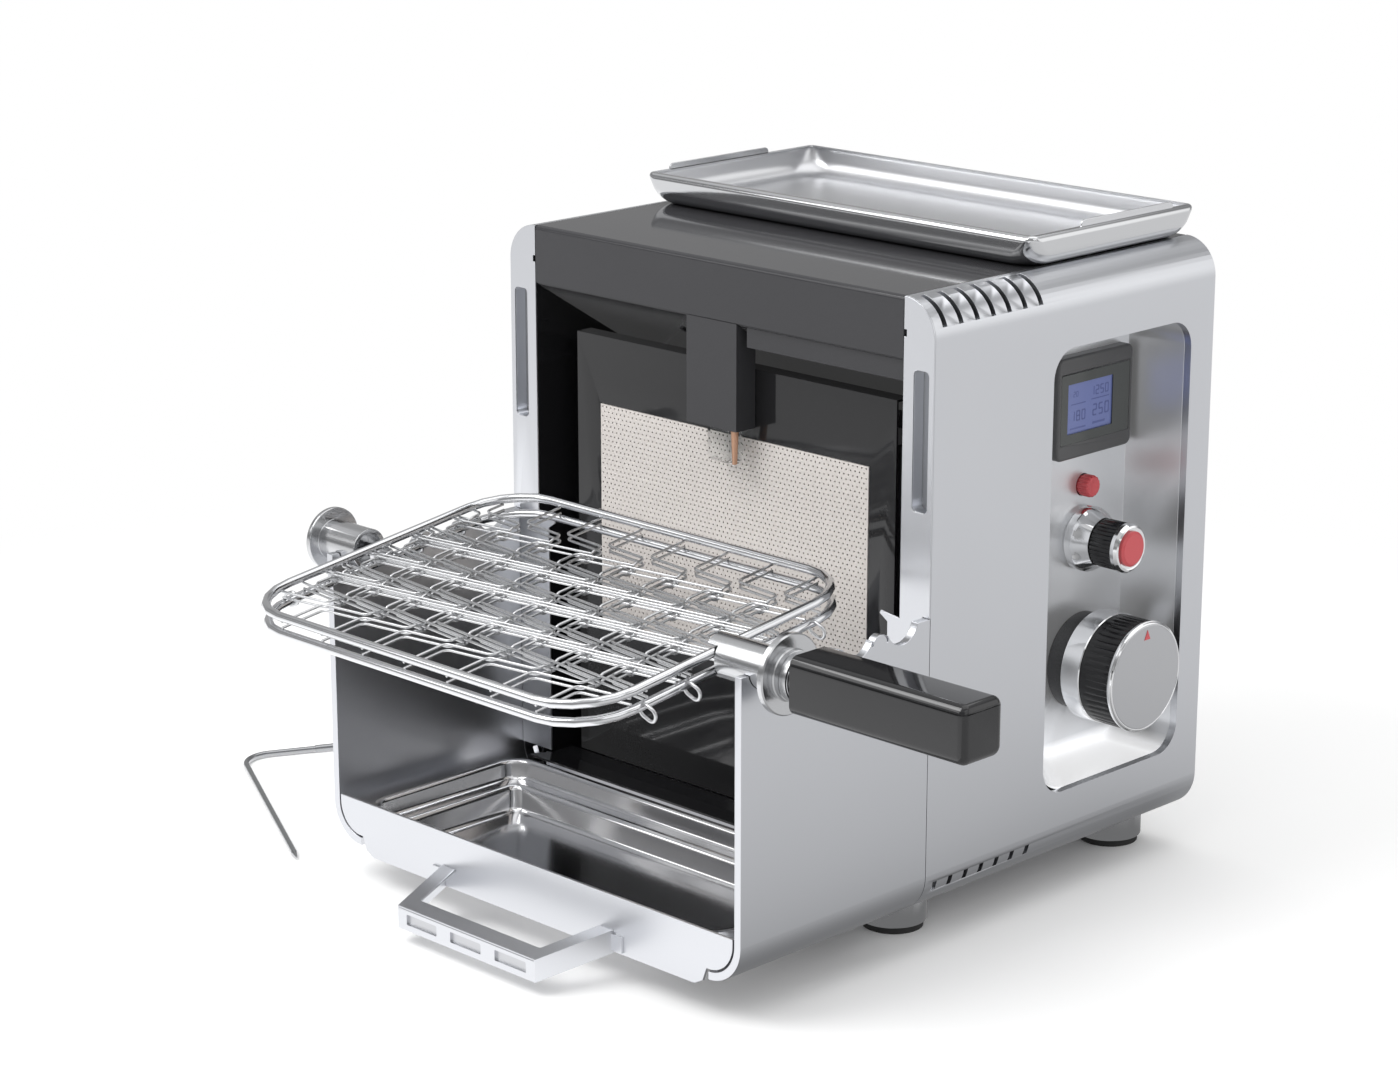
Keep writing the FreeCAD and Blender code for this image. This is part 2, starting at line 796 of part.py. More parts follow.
def feet():
    pieces = []
    for x, y in foot_places():
        leg = rod(x, y, pad_height, vec(0, 0, 1), foot_radius, foot_height - pad_height)
        edges = [edge for edge in leg.Edges if edge.CenterOfMass.z < pad_height + 0.1]
        leg = leg.makeFillet(1.2, edges)
        stud = rod(x, y, foot_height, vec(0, 0, 1), 4.0, 8)
        pieces.append(leg.fuse(stud).removeSplitter())
    return group(pieces)


def foot_pads():
    return group([rod(x, y, 0, vec(0, 0, 1), pad_radius, pad_height) for x, y in foot_places()])


# Drip drawer

def drawer_front():
    low = foot_height + bottom_round
    centre_x = half_width - bottom_round
    inner_arc = bottom_round - shell_sheet - 1.2
    bottom = below_top(drawer_bottom_drop)
    top = below_top(drawer_top_drop)
    right = [
        (centre_x + inner_arc, top), (centre_x + inner_arc, low - inner_arc, inner_arc - 0.1),
        (centre_x - 1.4, low - inner_arc), (centre_x - 4.5, below_top(368)), (centre_x - 11, bottom, 6),
    ]
    left = [(-point[0],) + tuple(point[1:]) for point in reversed(right)]
    return prism_xz(right + left, -porch_depth, -porch_depth + drawer_sheet)


def pan_layers(inset, lift):
    front = -porch_depth + drawer_sheet + 0.1
    rim = below_top(pan_rim_drop)
    upper = prism_xy(round_rectangle(-pan_half + inset, pan_half - inset, front + inset, pan_back - inset,
                                     14 - inset), rim - pan_step + lift, rim + (1 if inset else 0))
    step = pan_ledge + inset
    well = prism_xy(round_rectangle(-pan_half + step, pan_half - step, front + step, pan_back - step, 16 - inset),
                    rim - pan_step - pan_well + lift, rim - pan_step + lift + 0.01)
    return upper.fuse(well).removeSplitter()


def drawer_pan():
    solid = pan_layers(0, 0)
    hollow = pan_layers(pan_sheet, pan_sheet)
    pan = solid.cut(hollow)
    front = -porch_depth + drawer_sheet + 0.1
    rim = below_top(pan_rim_drop)
    outer = prism_xy(round_rectangle(-pan_half - 3, pan_half + 3, front, pan_back + 3, 12), rim - 1.5, rim)
    inner = prism_xy(round_rectangle(-pan_half + 1, pan_half - 1, front + 1, pan_back - 1, 13), rim - 2, rim + 1)
    return pan.fuse(outer.cut(inner)).removeSplitter()


def drawer_runners():
    low = foot_height + shell_sheet + 1.0
    front = -porch_depth + drawer_sheet + 0.1
    ledge = below_top(pan_rim_drop + pan_step) - 0.05
    points = [(146.4, ledge), (146.4, low), (155, low), (155, low + 1.5), (147.9, low + 1.5), (147.9, ledge)]
    runner = prism_xz(points, front, pan_back - 4)
    return group([runner, mirrored(runner)])


# One straight strip of the handle between two plan points, its top edge falling from one to the other
def handle_strip(start, end, top_start, top_end):
    along = vec(end[0] - start[0], end[1] - start[1], 0).normalize()
    inward = vec(-along.y, along.x, 0)
    corners = [vec(start[0], start[1], top_start), vec(end[0], end[1], top_end),
               vec(end[0], end[1], top_end - handle_height), vec(start[0], start[1], top_start - handle_height)]
    face = Part.Face(Part.makePolygon(corners + [corners[0]]))
    return face.extrude(inward * handle_sheet)


def drawer_handle():
    front_y = -porch_depth - handle_reach
    root_top = below_top(handle_root_drop)
    front_top = below_top(handle_front_drop)
    root = (-handle_root_half, -porch_depth - 0.05)
    bend = (-handle_front_half, front_y)
    arm = handle_strip(root, bend, root_top, front_top)
    face = box(-handle_front_half, handle_front_half, front_y, front_y + handle_sheet,
               front_top - handle_height, front_top)
    for index in (-1, 0, 1):
        x = index * 38.5
        points = round_rectangle(x - 13.25, x + 13.25, front_top - handle_height / 2 - 3.25,
                                 front_top - handle_height / 2 + 3.25, 0.8)
        face = face.cut(prism_xz(points, front_y - 1, front_y + handle_sheet + 1))
    foot = box(-handle_root_half - 8, -handle_root_half + 1, -porch_depth - 1.6, -porch_depth - 0.05,
               root_top - handle_height + 2, root_top - 2)
    handle = joined([arm, mirrored(arm), face, foot, mirrored(foot)])
    return handle.cut(box(-half_width, half_width, -porch_depth - 0.05, 0, 0, body_top))


# Basket, built flat and then tilted about its axis

def tilted(shape):
    turned_shape = shape.copy()
    turned_shape.rotate(vec(0, 0, 0), vec(1, 0, 0), basket_tilt)
    turned_shape.translate(vec(0, basket_y, below_top(basket_drop)))
    return turned_shape


def basket_frame(level):
    front = bent_rod([vec(-side_rod_x, 0, level), vec(-side_rod_x, -end_rod_s, level),
                      vec(side_rod_x, -end_rod_s, level), vec(side_rod_x, 0, level)], rod_corner, rod_radius)
    back = front.mirror(vec(0, 0, 0), vec(0, 1, 0))
    return tilted(front.fuse(back).removeSplitter())


# How far the frame rod lies from the basket's middle line at this x
def rod_reach(x):
    beyond = abs(x) - (side_rod_x - rod_corner)
    if beyond <= 0:
        return end_rod_s
    return end_rod_s - rod_corner + math.sqrt(rod_corner ** 2 - beyond ** 2)


# A leg along s that ducks under the pair of crossing runs
def leg_points(x, low, high, crossing, level):
    return [
        vec(x, low, level), vec(x, crossing - 6.7, level), vec(x, crossing - 4.3, level - wire_dip),
        vec(x, crossing + 0.8, level - wire_dip), vec(x, crossing + 3.2, level), vec(x, high, level),
    ]


# One wire as a staircase: a leg from the end rod, then runs across joined by legs
def staircase(first_column, first_row, other_row, shift, last_trim, level):
    points = [vec(first_column, -rod_reach(first_column), level)] if abs(first_column) < mesh_edge else []
    x = first_column
    s = first_row
    for row in range(row_count):
        pitches = 1 if row == 0 else 2
        run = column_pitch * pitches
        if row == row_count - 1:
            run -= last_trim
        if row == 0:
            points.append(vec(x, s, level))
        x += run
        s += row_rise * run / column_pitch
        if row == row_count - 1:
            points.append(vec(x, s, level))
            break
        following = first_row + row_pitch * (row + 1)
        crossing = -(other_row + row_pitch * (row_count - 1 - row)) - row_rise * shift / column_pitch
        points += leg_points(x, s, following, crossing, level)
        s = following
    return clipped(points)


# Keeps what lies between the side rods, with both cut ends under the rods' middles
def clipped(points):
    inside = [index for index, point in enumerate(points) if abs(point.x) < mesh_edge]
    if not inside:
        return None
    first = inside[0]
    last = inside[-1]
    kept = points[first:last + 1]
    if first > 0:
        kept.insert(0, at_x(points[first - 1], points[first], -side_rod_x))
    if last < len(points) - 1:
        kept.append(at_x(points[last], points[last + 1], side_rod_x))
    return kept if len(kept) > 1 else None


def at_x(start, end, x):
    return start + (end - start) * ((x - start.x) / (end.x - start.x))


def basket_mesh(level):
    wires = []
    families = [(1, 0, -row_first, -row_first_back, 30, 27.8), (-1, 6, -row_first_back, -row_first, 6, 3.8)]
    for sign, offset, first_row, other_row, shift, last_trim in families:
        for index in range(-12, 4):
            start = offset + column_pitch * index
            points = staircase(start, first_row, other_row, shift, last_trim, level)
            if points is None:
                continue
            placed = [vec(point.x, point.y * sign, point.z) for point in points]
            wires.append(bent_rod(placed, wire_bend, wire_radius))
    return tilted(group(wires))


link_places = [(1, -67.0), (1, -33.0), (1, 66.5), (-1, -67.0), (-1, 31.5), (-1, 66.5)]


# Narrow oval links that hang from the lower side rods
def basket_links():
    links = []
    slope = math.radians(-23)
    for side, s in link_places:
        ahead = vec(math.cos(slope), 0, math.sin(slope))
        across = vec(-math.sin(slope), 0, math.cos(slope))
        near = vec(side_rod_x, s, -rod_half_gap)
        far = near + ahead * 12.0
        half = 3.9
        top = [near + across * half, far + across * half]
        bottom = [near - across * half, far - across * half]
        edges = [
            Part.makeLine(top[0], top[1]), Part.Arc(top[1], far + ahead * half, bottom[1]).toShape(),
            Part.makeLine(bottom[1], bottom[0]), Part.Arc(bottom[0], near - ahead * half, top[0]).toShape(),
        ]
        first = Part.Wire(edges[0:2])
        second = Part.Wire(edges[2:4])
        ring_a = Part.Wire(Part.makeCircle(1.0, top[0], ahead))
        ring_b = Part.Wire(Part.makeCircle(1.0, bottom[1], ahead * -1))
        link = first.makePipeShell([ring_a], True, False).fuse(second.makePipeShell([ring_b], True, False))
        link = link.removeSplitter()
        links.append(link if side > 0 else mirrored(link))
    return tilted(group(links))


def hub_slot():
    return box(hub_inner_x - 1, side_rod_x + rod_radius + gap, -20, 20, -rod_half_gap - rod_radius - gap,
               rod_half_gap + rod_radius + gap)


# The tube, the narrower seat that lies in the notch, and the neck with its ring
def hub_right():
    barrel = tube(hub_inner_x, 0, 0, vec(1, 0, 0), hub_radius, hub_bore, seat_start - hub_inner_x)
    barrel = barrel.cut(hub_slot())
    seat = rod(seat_start, 0, 0, vec(1, 0, 0), seat_radius, seat_end - seat_start)
    neck_pairs = [(seat_end, hub_radius), (disc_x + disc_thick + 0.1, hub_radius),
                  (disc_x + disc_thick + 0.1, 14.2), (disc_x + 8, 14.2), (disc_x + 8.6, 13.2),
                  (disc_x + 14, 13.2), (disc_x + 14.6, 12.4), (grip_start + 24, 12.4)]
    neck = turned(neck_pairs, 0, 0)
    ring = rod(disc_x, 0, 0, vec(1, 0, 0), disc_radius, disc_thick)
    ring = ring.makeFillet(0.8, [edge for edge in ring.Edges if edge.BoundBox.YLength > 40])
    return tilted(group([barrel, seat, neck.fuse(ring).removeSplitter()]))


def hub_left():
    length = disc_x - left_hub_inner_x
    barrel = rod(left_hub_inner_x, 0, 0, vec(1, 0, 0), hub_radius, length)
    barrel = barrel.cut(rod(left_hub_inner_x, 0, 0, vec(1, 0, 0), hub_bore, left_hub_cup))
    disc = rod(disc_x, 0, 0, vec(1, 0, 0), left_disc_radius, 3.5)
    edges = [edge for edge in disc.Edges if edge.BoundBox.YLength > 30]
    disc = disc.makeFillet(0.8, edges)
    bush = barrel.fuse(disc).removeSplitter()
    bush = bush.cut(rod(left_hub_inner_x, 0, 0, vec(1, 0, 0), pin_radius + 0.06, pin_end - left_hub_inner_x + 1))
    return tilted(mirrored(bush))


# The pin that the basket turns on, held between the two left side rods
def basket_pin():
    head = side_rod_x + 0.1
    pin = rod(head, 0, 0, vec(1, 0, 0), pin_radius, pin_end - head)
    saddle = box(head, side_rod_x + rod_radius + 1, -6, 6, -rod_half_gap, rod_half_gap)
    pin = pin.fuse(saddle)
    for level in (-rod_half_gap, rod_half_gap):
        pin = pin.cut(rod(side_rod_x, -20, level, vec(0, 1, 0), rod_radius, 40))
    return tilted(mirrored(pin.removeSplitter()))


def grip():
    centre_z = below_top(basket_drop)
    half_w = grip_width / 2
    half_h = grip_height / 2
    points = round_rectangle(basket_y - half_w, basket_y + half_w, centre_z - half_h, centre_z + half_h, 6)
    block = prism_yz(points, grip_start, grip_end)
    end_edges = [edge for edge in block.Edges if edge.CenterOfMass.x > grip_end - 0.1]
    block = block.makeFillet(4.5, end_edges)
    groove_z = centre_z + half_h - 5.0
    outer = box(grip_start - 1, grip_end + 1, basket_y - half_w - 1, basket_y + half_w + 1, groove_z, groove_z + 0.8)
    core = prism_yz(round_rectangle(basket_y - half_w + 0.7, basket_y + half_w - 0.7, centre_z - half_h + 0.7,
                                    centre_z + half_h - 0.7, 5.3), grip_start + 0.7, grip_end - 0.7)
    bore = rod(grip_start - 1, basket_y, centre_z, vec(1, 0, 0), 12.4, 26)
    return block.cut(outer.cut(core)).cut(bore)


# Lift-off tray on the top

def tray_form(inset, low, high):
    outline = round_rectangle(-tray_half + inset, tray_half - inset, tray_front + inset, tray_back - inset,
                              tray_corner - inset)
    solid = prism_xy(outline, low, high)
    bottom_edges = [edge for edge in solid.Edges if edge.BoundBox.ZMax < low + 0.01]
    solid = solid.makeFillet(tray_bottom_round - inset, bottom_edges)
    top_edges = [edge for edge in solid.Edges if edge.BoundBox.ZMin > high - 0.01]
    return solid.makeFillet(tray_shoulder - inset, top_edges)


# The rim rolls inward, and each short end has a low lip on the inner edge of the rim
def top_tray():
    base = body_top + gap
    rim = body_top + tray_height
    tray = tray_form(0, base, rim).cut(tray_form(tray_sheet, base + tray_sheet, rim - tray_sheet))
    mouth = round_rectangle(-tray_half + tray_mouth, tray_half - tray_mouth, tray_front + tray_mouth,
                            tray_back - tray_mouth, tray_corner - tray_mouth)
    tray = tray.cut(prism_xy(mouth, rim - 6, rim + 1))
    for side, low_y, high_y in ((-1, 121.0, 212.0), (1, 151.0, 238.0)):
        points = [(low_y, rim - 0.8), (high_y, rim - 0.8), (high_y, rim + tray_lip_height, 3),
                  (low_y, rim + tray_lip_height, 3)]
        inner = tray_half - tray_mouth
        lip = prism_yz(points, inner, inner + 1.0)
        if side < 0:
            lip = mirrored(lip.cut(rod(inner - 1, 128.5, rim + 1.7, vec(1, 0, 0), 1.1, 4)))
        tray = tray.fuse(lip)
    return tray.removeSplitter()


# Probe on the floor

def probe():
    corner = vec(probe_corner[0], probe_corner[1], probe_axis_z)
    start = vec(probe_collar_end[0], probe_collar_end[1], probe_axis_z)
    tip = vec(probe_tip[0], probe_tip[1], probe_axis_z)
    along = (tip - corner).normalize()
    shaft_end = tip - along * 9
    needle = bent_rod([start, corner, shaft_end], probe_bend, probe_radius)
    point = Part.makeCone(probe_radius, 0.5, 9, shaft_end, along)
    outward = (start - corner).normalize()
    collar = Part.makeCylinder(2.5, 14, start - outward * 10, outward)
    return joined([needle, point, collar])


window = window_cutter()
right_shell = side_shell()

parts = {
    "side_shell_right": right_shell.cut(window),
    "side_shell_left": mirrored(right_shell),
    "cheek_right": cheek(),
    "cheek_left": mirrored(cheek()),
    "column_right": column_plate(),
    "column_left": mirrored(column_plate()),
    "slot_pockets": group([slot_pocket(), mirrored(slot_pocket())]),
    "top_cover": top_cover(),
    "hood_ceiling": hood_ceiling(),
    "liner_right": side_liner(),
    "liner_left": mirrored(side_liner()),
    "chamber_back": chamber_back(),
    "rear_panel": rear_panel(),
    "rear_screws": rear_screws(),
    "base_plate": base_plate(),
    "burner_frame": burner_frame(),
    "burner_tile": burner_tile(),
    "burner_box": burner_box(),
    "mixing_tube": mixing_tube(),
    "drip_apron": drip_apron(),
    "igniter_box": igniter_box(),
    "spark_electrode": spark_electrode(),
    "sight_glass": sight_glass(),
    "port_rim": port_rim(),
    "control_pocket": control_pocket(),
    "display_bezel": display_bezel(),
    "display_screen": display_screen(),
    "control_board": control_board(),
    "red_button": red_button(),
    "small_knob_bell": small_knob_bell(),
    "small_knob_ring": small_knob_ring(),
    "small_knob_cap": small_knob_cap(),
    "small_knob_disc": small_knob_disc(),
    "large_knob_base": large_knob_base(),
    "large_knob_collar": large_knob_collar(),
    "large_knob_grip": large_knob_grip(),
    "large_knob_cap": large_knob_cap(),
    "large_knob_pointer": large_knob_pointer(),
    "gas_valve": gas_valve(),
    "gas_inlet": gas_inlet(),
    "spark_module": spark_module(),
    "probe_socket": probe_socket(),
    "feet": feet(),
    "foot_pads": foot_pads(),
    "drawer_front": drawer_front(),
    "drawer_pan": drawer_pan(),
    "drawer_runners": drawer_runners(),
    "drawer_handle": drawer_handle(),
    "basket_lower_frame": basket_frame(-rod_half_gap),
    "basket_upper_frame": basket_frame(rod_half_gap),
    "basket_lower_mesh": basket_mesh(-upper_layer),
    "basket_upper_mesh": basket_mesh(upper_layer),
    "basket_links": basket_links(),
    "basket_pin": basket_pin(),
    "hub_right": hub_right(),
    "hub_left": hub_left(),
    "grip": grip(),
    "top_tray": top_tray(),
    "probe": probe(),
}

# The origin is moved to the middle of the whole outline, on the floor
outline_box = FreeCAD.BoundBox()
for shape in parts.values():
    outline_box.add(shape.BoundBox)
shift = vec(-outline_box.Center.x, -outline_box.Center.y, 0)

os.makedirs("parts", exist_ok=True)
for name, shape in parts.items():
    shape.translate(shift)
    shape.exportStep(os.path.join("parts", name + ".step"))
    print(name, len(shape.Solids), len(shape.Faces), shape.isValid(), round(shape.Volume))
print("shift", shift, "outline", outline_box)
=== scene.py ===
import math
import json

import bmesh
import bpy
from mathutils import Matrix, Vector

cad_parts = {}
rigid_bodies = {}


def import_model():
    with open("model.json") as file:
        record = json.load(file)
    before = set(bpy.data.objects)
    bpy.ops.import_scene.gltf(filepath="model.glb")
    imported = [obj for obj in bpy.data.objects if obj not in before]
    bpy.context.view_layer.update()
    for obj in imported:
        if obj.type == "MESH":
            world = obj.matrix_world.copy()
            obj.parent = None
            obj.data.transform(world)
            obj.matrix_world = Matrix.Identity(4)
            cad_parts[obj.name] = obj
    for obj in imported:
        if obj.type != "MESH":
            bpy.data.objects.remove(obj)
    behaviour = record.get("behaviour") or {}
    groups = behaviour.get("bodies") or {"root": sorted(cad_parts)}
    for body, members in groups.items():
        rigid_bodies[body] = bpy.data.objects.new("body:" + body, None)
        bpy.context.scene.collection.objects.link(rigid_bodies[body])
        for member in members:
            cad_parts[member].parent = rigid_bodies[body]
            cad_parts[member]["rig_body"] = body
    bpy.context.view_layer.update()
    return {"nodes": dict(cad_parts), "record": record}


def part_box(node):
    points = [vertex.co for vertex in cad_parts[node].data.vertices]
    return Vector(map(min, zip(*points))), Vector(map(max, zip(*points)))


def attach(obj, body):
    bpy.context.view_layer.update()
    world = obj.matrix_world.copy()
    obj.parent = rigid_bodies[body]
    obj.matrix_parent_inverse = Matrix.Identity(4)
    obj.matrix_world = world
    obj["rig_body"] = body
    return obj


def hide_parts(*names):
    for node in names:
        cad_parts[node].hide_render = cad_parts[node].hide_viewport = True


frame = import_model()
nodes = frame["nodes"]
scene = bpy.context.scene
mm = 0.001
print("frame loaded:", len(nodes), "nodes")

# The drawing's own zero is the middle of the body, front of the columns, body top. The cheeks start
# "cheekReach" ahead of it, and the body's outline on the floor lies around "middleY".
housing = {"halfX": 175.0, "cheekReach": 153.4, "middleY": 52.0, "halfY": 206.0}
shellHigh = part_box("side_shell_right")[1]
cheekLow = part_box("cheek_right")[0]
zero = Vector((shellHigh.x - housing["halfX"] * mm, cheekLow.y + housing["cheekReach"] * mm, shellHigh.z))


# Sizes and places are millimetres from the drawing's zero, z up
def spot(point):
    return zero + Vector(point) * mm


# Camera as solved from the photo: focal length and optical centre are pixels of its frame
camera = {"frame": (1398, 1080), "sensor": 36, "focal": 3493.17, "centre": (701.33, 575.26), "clipEnd": 50,
          "azimuth": 44.751, "elevation": 16.275, "distance": 2148.91, "right": -47.514, "up": -5.924,
          "aim": (0, 60, -200)}


def addCamera(c):
    width, height = c["frame"]
    az, el = math.radians(c["azimuth"]), math.radians(c["elevation"])
    back = Vector((math.sin(az) * math.cos(el), -math.cos(az) * math.cos(el), math.sin(el)))
    right = Vector((math.cos(az), math.sin(az), 0))
    up = back.cross(right)
    data = bpy.data.cameras.new("camera")
    data.sensor_width = c["sensor"]
    data.sensor_fit = "HORIZONTAL"
    data.lens = c["focal"] / width * c["sensor"]
    data.shift_x = (width / 2 - c["centre"][0]) / width
    data.shift_y = (c["centre"][1] - height / 2) / width
    data.clip_end = c["clipEnd"]
    obj = bpy.data.objects.new("camera", data)
    scene.collection.objects.link(obj)
    place = spot(c["aim"]) + (back * c["distance"] + right * c["right"] + up * c["up"]) * mm
    turn = Matrix((right, up, back)).transposed().to_4x4()
    obj.matrix_world = Matrix.Translation(place) @ turn
    scene.camera = obj


addCamera(camera)
print("camera placed")


# Small helpers for node trees: each returns the socket that the next node takes
def feed(tree, socket, value):
    if isinstance(value, bpy.types.NodeSocket):
        tree.links.new(value, socket)
    else:
        socket.default_value = value


def mathNode(tree, kind, a, b=0):
    node = tree.nodes.new("ShaderNodeMath")
    node.operation = kind
    feed(tree, node.inputs[0], a)
    feed(tree, node.inputs[1], b)
    return node.outputs[0]


def mapRange(tree, value, start, end, low=0, high=1, smooth=False):
    node = tree.nodes.new("ShaderNodeMapRange")
    node.interpolation_type = "SMOOTHSTEP" if smooth else "LINEAR"
    for socket, number in zip(("From Min", "From Max", "To Min", "To Max"), (start, end, low, high)):
        node.inputs[socket].default_value = number
    tree.links.new(value, node.inputs["Value"])
    return node.outputs[0]


# The colour sockets of a Mix node are its seventh and eighth input and its third output
def mixColour(tree, share, first, second, kind="MIX"):
    node = tree.nodes.new("ShaderNodeMix")
    node.data_type = "RGBA"
    node.blend_type = kind
    for index, value in ((0, share), (6, first), (7, second)):
        feed(tree, node.inputs[index], value)
    return node.outputs[2]


def mixShader(tree, share, first, second):
    node = tree.nodes.new("ShaderNodeMixShader")
    for socket, value in zip(node.inputs, (share, first, second)):
        tree.links.new(value, socket)
    return node.outputs[0]


# Stops are pairs of position and brightness, and the tint colours them
def colourRamp(tree, value, stops, tint=(1, 1, 1)):
    node = tree.nodes.new("ShaderNodeValToRGB")
    elements = node.color_ramp.elements
    elements.remove(elements[-1])
    for index, (position, bright) in enumerate(stops):
        element = elements[0] if index == 0 else elements.new(position)
        element.position = position
        element.color = (*(bright * part for part in tint), 1)
    tree.links.new(value, node.inputs[0])
    return node.outputs["Color"]


# Light and backdrop
studio = {
    "floor": (0.92, 0.92, 0.918), "floorHalf": 4.0, "clearFrom": 0.36, "clearTo": 0.95, "skyStrength": 0.86,
    # the floor as metal mirrors it, with painted shadow beside the body and painted light ahead: brightness
    # against the distance from the body, beside it and ahead of it
    "beside": [(0, 0.26), (0.05, 0.42), (0.12, 0.64), (0.32, 0.82), (1, 0.88)],
    "ahead": [(0, 1.30), (0.05, 1.46), (0.35, 1.46), (0.9, 1.10)],
    "turn": (0.02, -0.04), "floorGain": 1.5, "floorTint": (0.99, 0.992, 1.0),
    # brightness of the mirrored sky against the height of the direction, from straight down to straight up
    "skyBands": [(-1.0, 0.75), (-0.06, 0.70), (0.0, 0.34), (0.10, 0.24), (0.22, 0.44), (0.36, 0.42),
                 (0.46, 0.26), (0.58, 0.34), (0.68, 0.75), (1.0, 0.62)],
    "skyGain": 1.2, "skyTint": (0.985, 0.99, 1.0),
    # brighter patches of that sky: direction, cosine where a patch fades out and where it is full, brightness
    "patches": [((0.70, 0.66, 0.28), 0.86, 0.97, 1.3), ((-0.30, -0.35, 0.89), 0.90, 0.985, 0.9),
                ((-0.85, 0.45, 0.30), 0.88, 0.97, 0.45)],
    # lamps: place, aim, size, power
    "lamps": {"key": ((-1.6, -2.4, 2.2), (0, 0, 0.2), 2.0, 26),
              "side": ((2.6, -0.4, 1.6), (0, 0, 0.2), 1.8, 9),
              "top": ((0.3, 0.6, 2.6), (0, 0, 0.2), 2.4, 18),
              "front": ((-0.35, -0.80, 1.25), (-0.35, -0.65, 0), 0.8, 10)},
}


def addLamp(name, place, aim, size, power):
    data = bpy.data.lights.new(name, "AREA")
    data.shape = "RECTANGLE"
    data.size = size
    data.size_y = size
    data.energy = power
    obj = bpy.data.objects.new(name, data)
    scene.collection.objects.link(obj)
    obj.location = place
    obj.rotation_euler = (Vector(place) - Vector(aim)).to_track_quat("Z", "Y").to_euler()


# White to the camera, an even sky for soft light, and a banded sky with bright patches for mirror images
def addSky(s):
    world = bpy.data.worlds.new("studio")
    scene.world = world
    world.use_nodes = True
    tree = world.node_tree
    tree.nodes.clear()
    add, link = tree.nodes.new, tree.links.new
    out, path, coord = add("ShaderNodeOutputWorld"), add("ShaderNodeLightPath"), add("ShaderNodeTexCoord")
    plain, soft, banded = (add("ShaderNodeBackground") for _ in range(3))
    plain.inputs["Color"].default_value = (1, 1, 1, 1)
    soft.inputs["Color"].default_value = (1, 1, 1, 1)
    soft.inputs["Strength"].default_value = s["skyStrength"]
    banded.inputs["Strength"].default_value = s["skyGain"]
    split = add("ShaderNodeSeparateXYZ")
    link(coord.outputs["Generated"], split.inputs[0])
    height = mapRange(tree, split.outputs["Z"], -1, 1)
    stops = [((level + 1) / 2, bright / s["skyGain"]) for level, bright in s["skyBands"]]
    colour = colourRamp(tree, height, stops, s["skyTint"])
    for direction, fadeOut, full, bright in s["patches"]:
        along = add("ShaderNodeVectorMath")
        along.operation = "DOT_PRODUCT"
        along.inputs[1].default_value = Vector(direction).normalized()
        link(coord.outputs["Generated"], along.inputs[0])
        share = mapRange(tree, along.outputs["Value"], fadeOut, full, smooth=True)
        level = bright / s["skyGain"]
        colour = mixColour(tree, share, colour, (level, level, level, 1))
    link(colour, banded.inputs["Color"])
    glossy = mixShader(tree, path.outputs["Is Glossy Ray"], soft.outputs[0], banded.outputs[0])
    seen = mixShader(tree, path.outputs["Is Camera Ray"], glossy, plain.outputs[0])
    link(seen, out.inputs["Surface"])


# The floor is plain diffuse near the grill and fades to clean white further out, so it shows no edge.
# Metal mirrors an emitting floor with a painted shadow close beside the body and painted light in front of
# it.
def addFloor(s):
    edge = s["floorHalf"]
    mesh = bpy.data.meshes.new("floor")
    corners = [(-edge, -edge, 0), (edge, -edge, 0), (edge, edge, 0), (-edge, edge, 0)]
    mesh.from_pydata(corners, [], [(0, 1, 2, 3)])
    floor = bpy.data.objects.new("floor", mesh)
    scene.collection.objects.link(floor)
    mat = bpy.data.materials.new("floorPaint")
    mat.use_nodes = True
    tree = mat.node_tree
    tree.nodes.clear()
    add, link = tree.nodes.new, tree.links.new
    out, coord, path = add("ShaderNodeOutputMaterial"), add("ShaderNodeTexCoord"), add("ShaderNodeLightPath")
    paint = add("ShaderNodeBsdfDiffuse")
    clean, paintedShadeAndLight = add("ShaderNodeEmission"), add("ShaderNodeEmission")
    paint.inputs["Color"].default_value = (*s["floor"], 1)
    clean.inputs["Color"].default_value = (1, 1, 1, 1)
    paintedShadeAndLight.inputs["Strength"].default_value = s["floorGain"]
    length, split = add("ShaderNodeVectorMath"), add("ShaderNodeSeparateXYZ")
    length.operation = "LENGTH"
    link(coord.outputs["Object"], length.inputs[0])
    link(coord.outputs["Object"], split.inputs[0])
    fade = mapRange(tree, length.outputs["Value"], s["clearFrom"], s["clearTo"], smooth=True)
    cleared = mathNode(tree, "MULTIPLY", fade, path.outputs["Is Camera Ray"])
    seen = mixShader(tree, cleared, paint.outputs[0], clean.outputs[0])
    middle, squares = spot((0, housing["middleY"], 0)), []
    for axis, centre, half in (("X", middle.x, housing["halfX"]), ("Y", middle.y, housing["halfY"])):
        off = mathNode(tree, "ABSOLUTE", mathNode(tree, "SUBTRACT", split.outputs[axis], centre))
        past = mathNode(tree, "MAXIMUM", mathNode(tree, "SUBTRACT", off, half * mm))
        squares.append(mathNode(tree, "POWER", past, 2))
    distance = mathNode(tree, "SQRT", mathNode(tree, "ADD", *squares))
    # painted shadow and painted light of the floor, seen only in mirror images
    looks = []
    for side in ("beside", "ahead"):
        stops = [(place, bright / s["floorGain"]) for place, bright in s[side]]
        looks.append(colourRamp(tree, distance, stops, s["floorTint"]))
    diagonal = mathNode(tree, "ADD", split.outputs["X"], split.outputs["Y"])
    turn = mapRange(tree, diagonal, *s["turn"], smooth=True)
    link(mixColour(tree, turn, *looks), paintedShadeAndLight.inputs["Color"])
    link(mixShader(tree, path.outputs["Is Glossy Ray"], seen, paintedShadeAndLight.outputs[0]), out.inputs["Surface"])
    mesh.materials.append(mat)


scene.view_settings.view_transform = "Standard"
addSky(studio)
addFloor(studio)
for lampName, lampSettings in studio["lamps"].items():
    addLamp(lampName, *lampSettings)
print("studio lit")
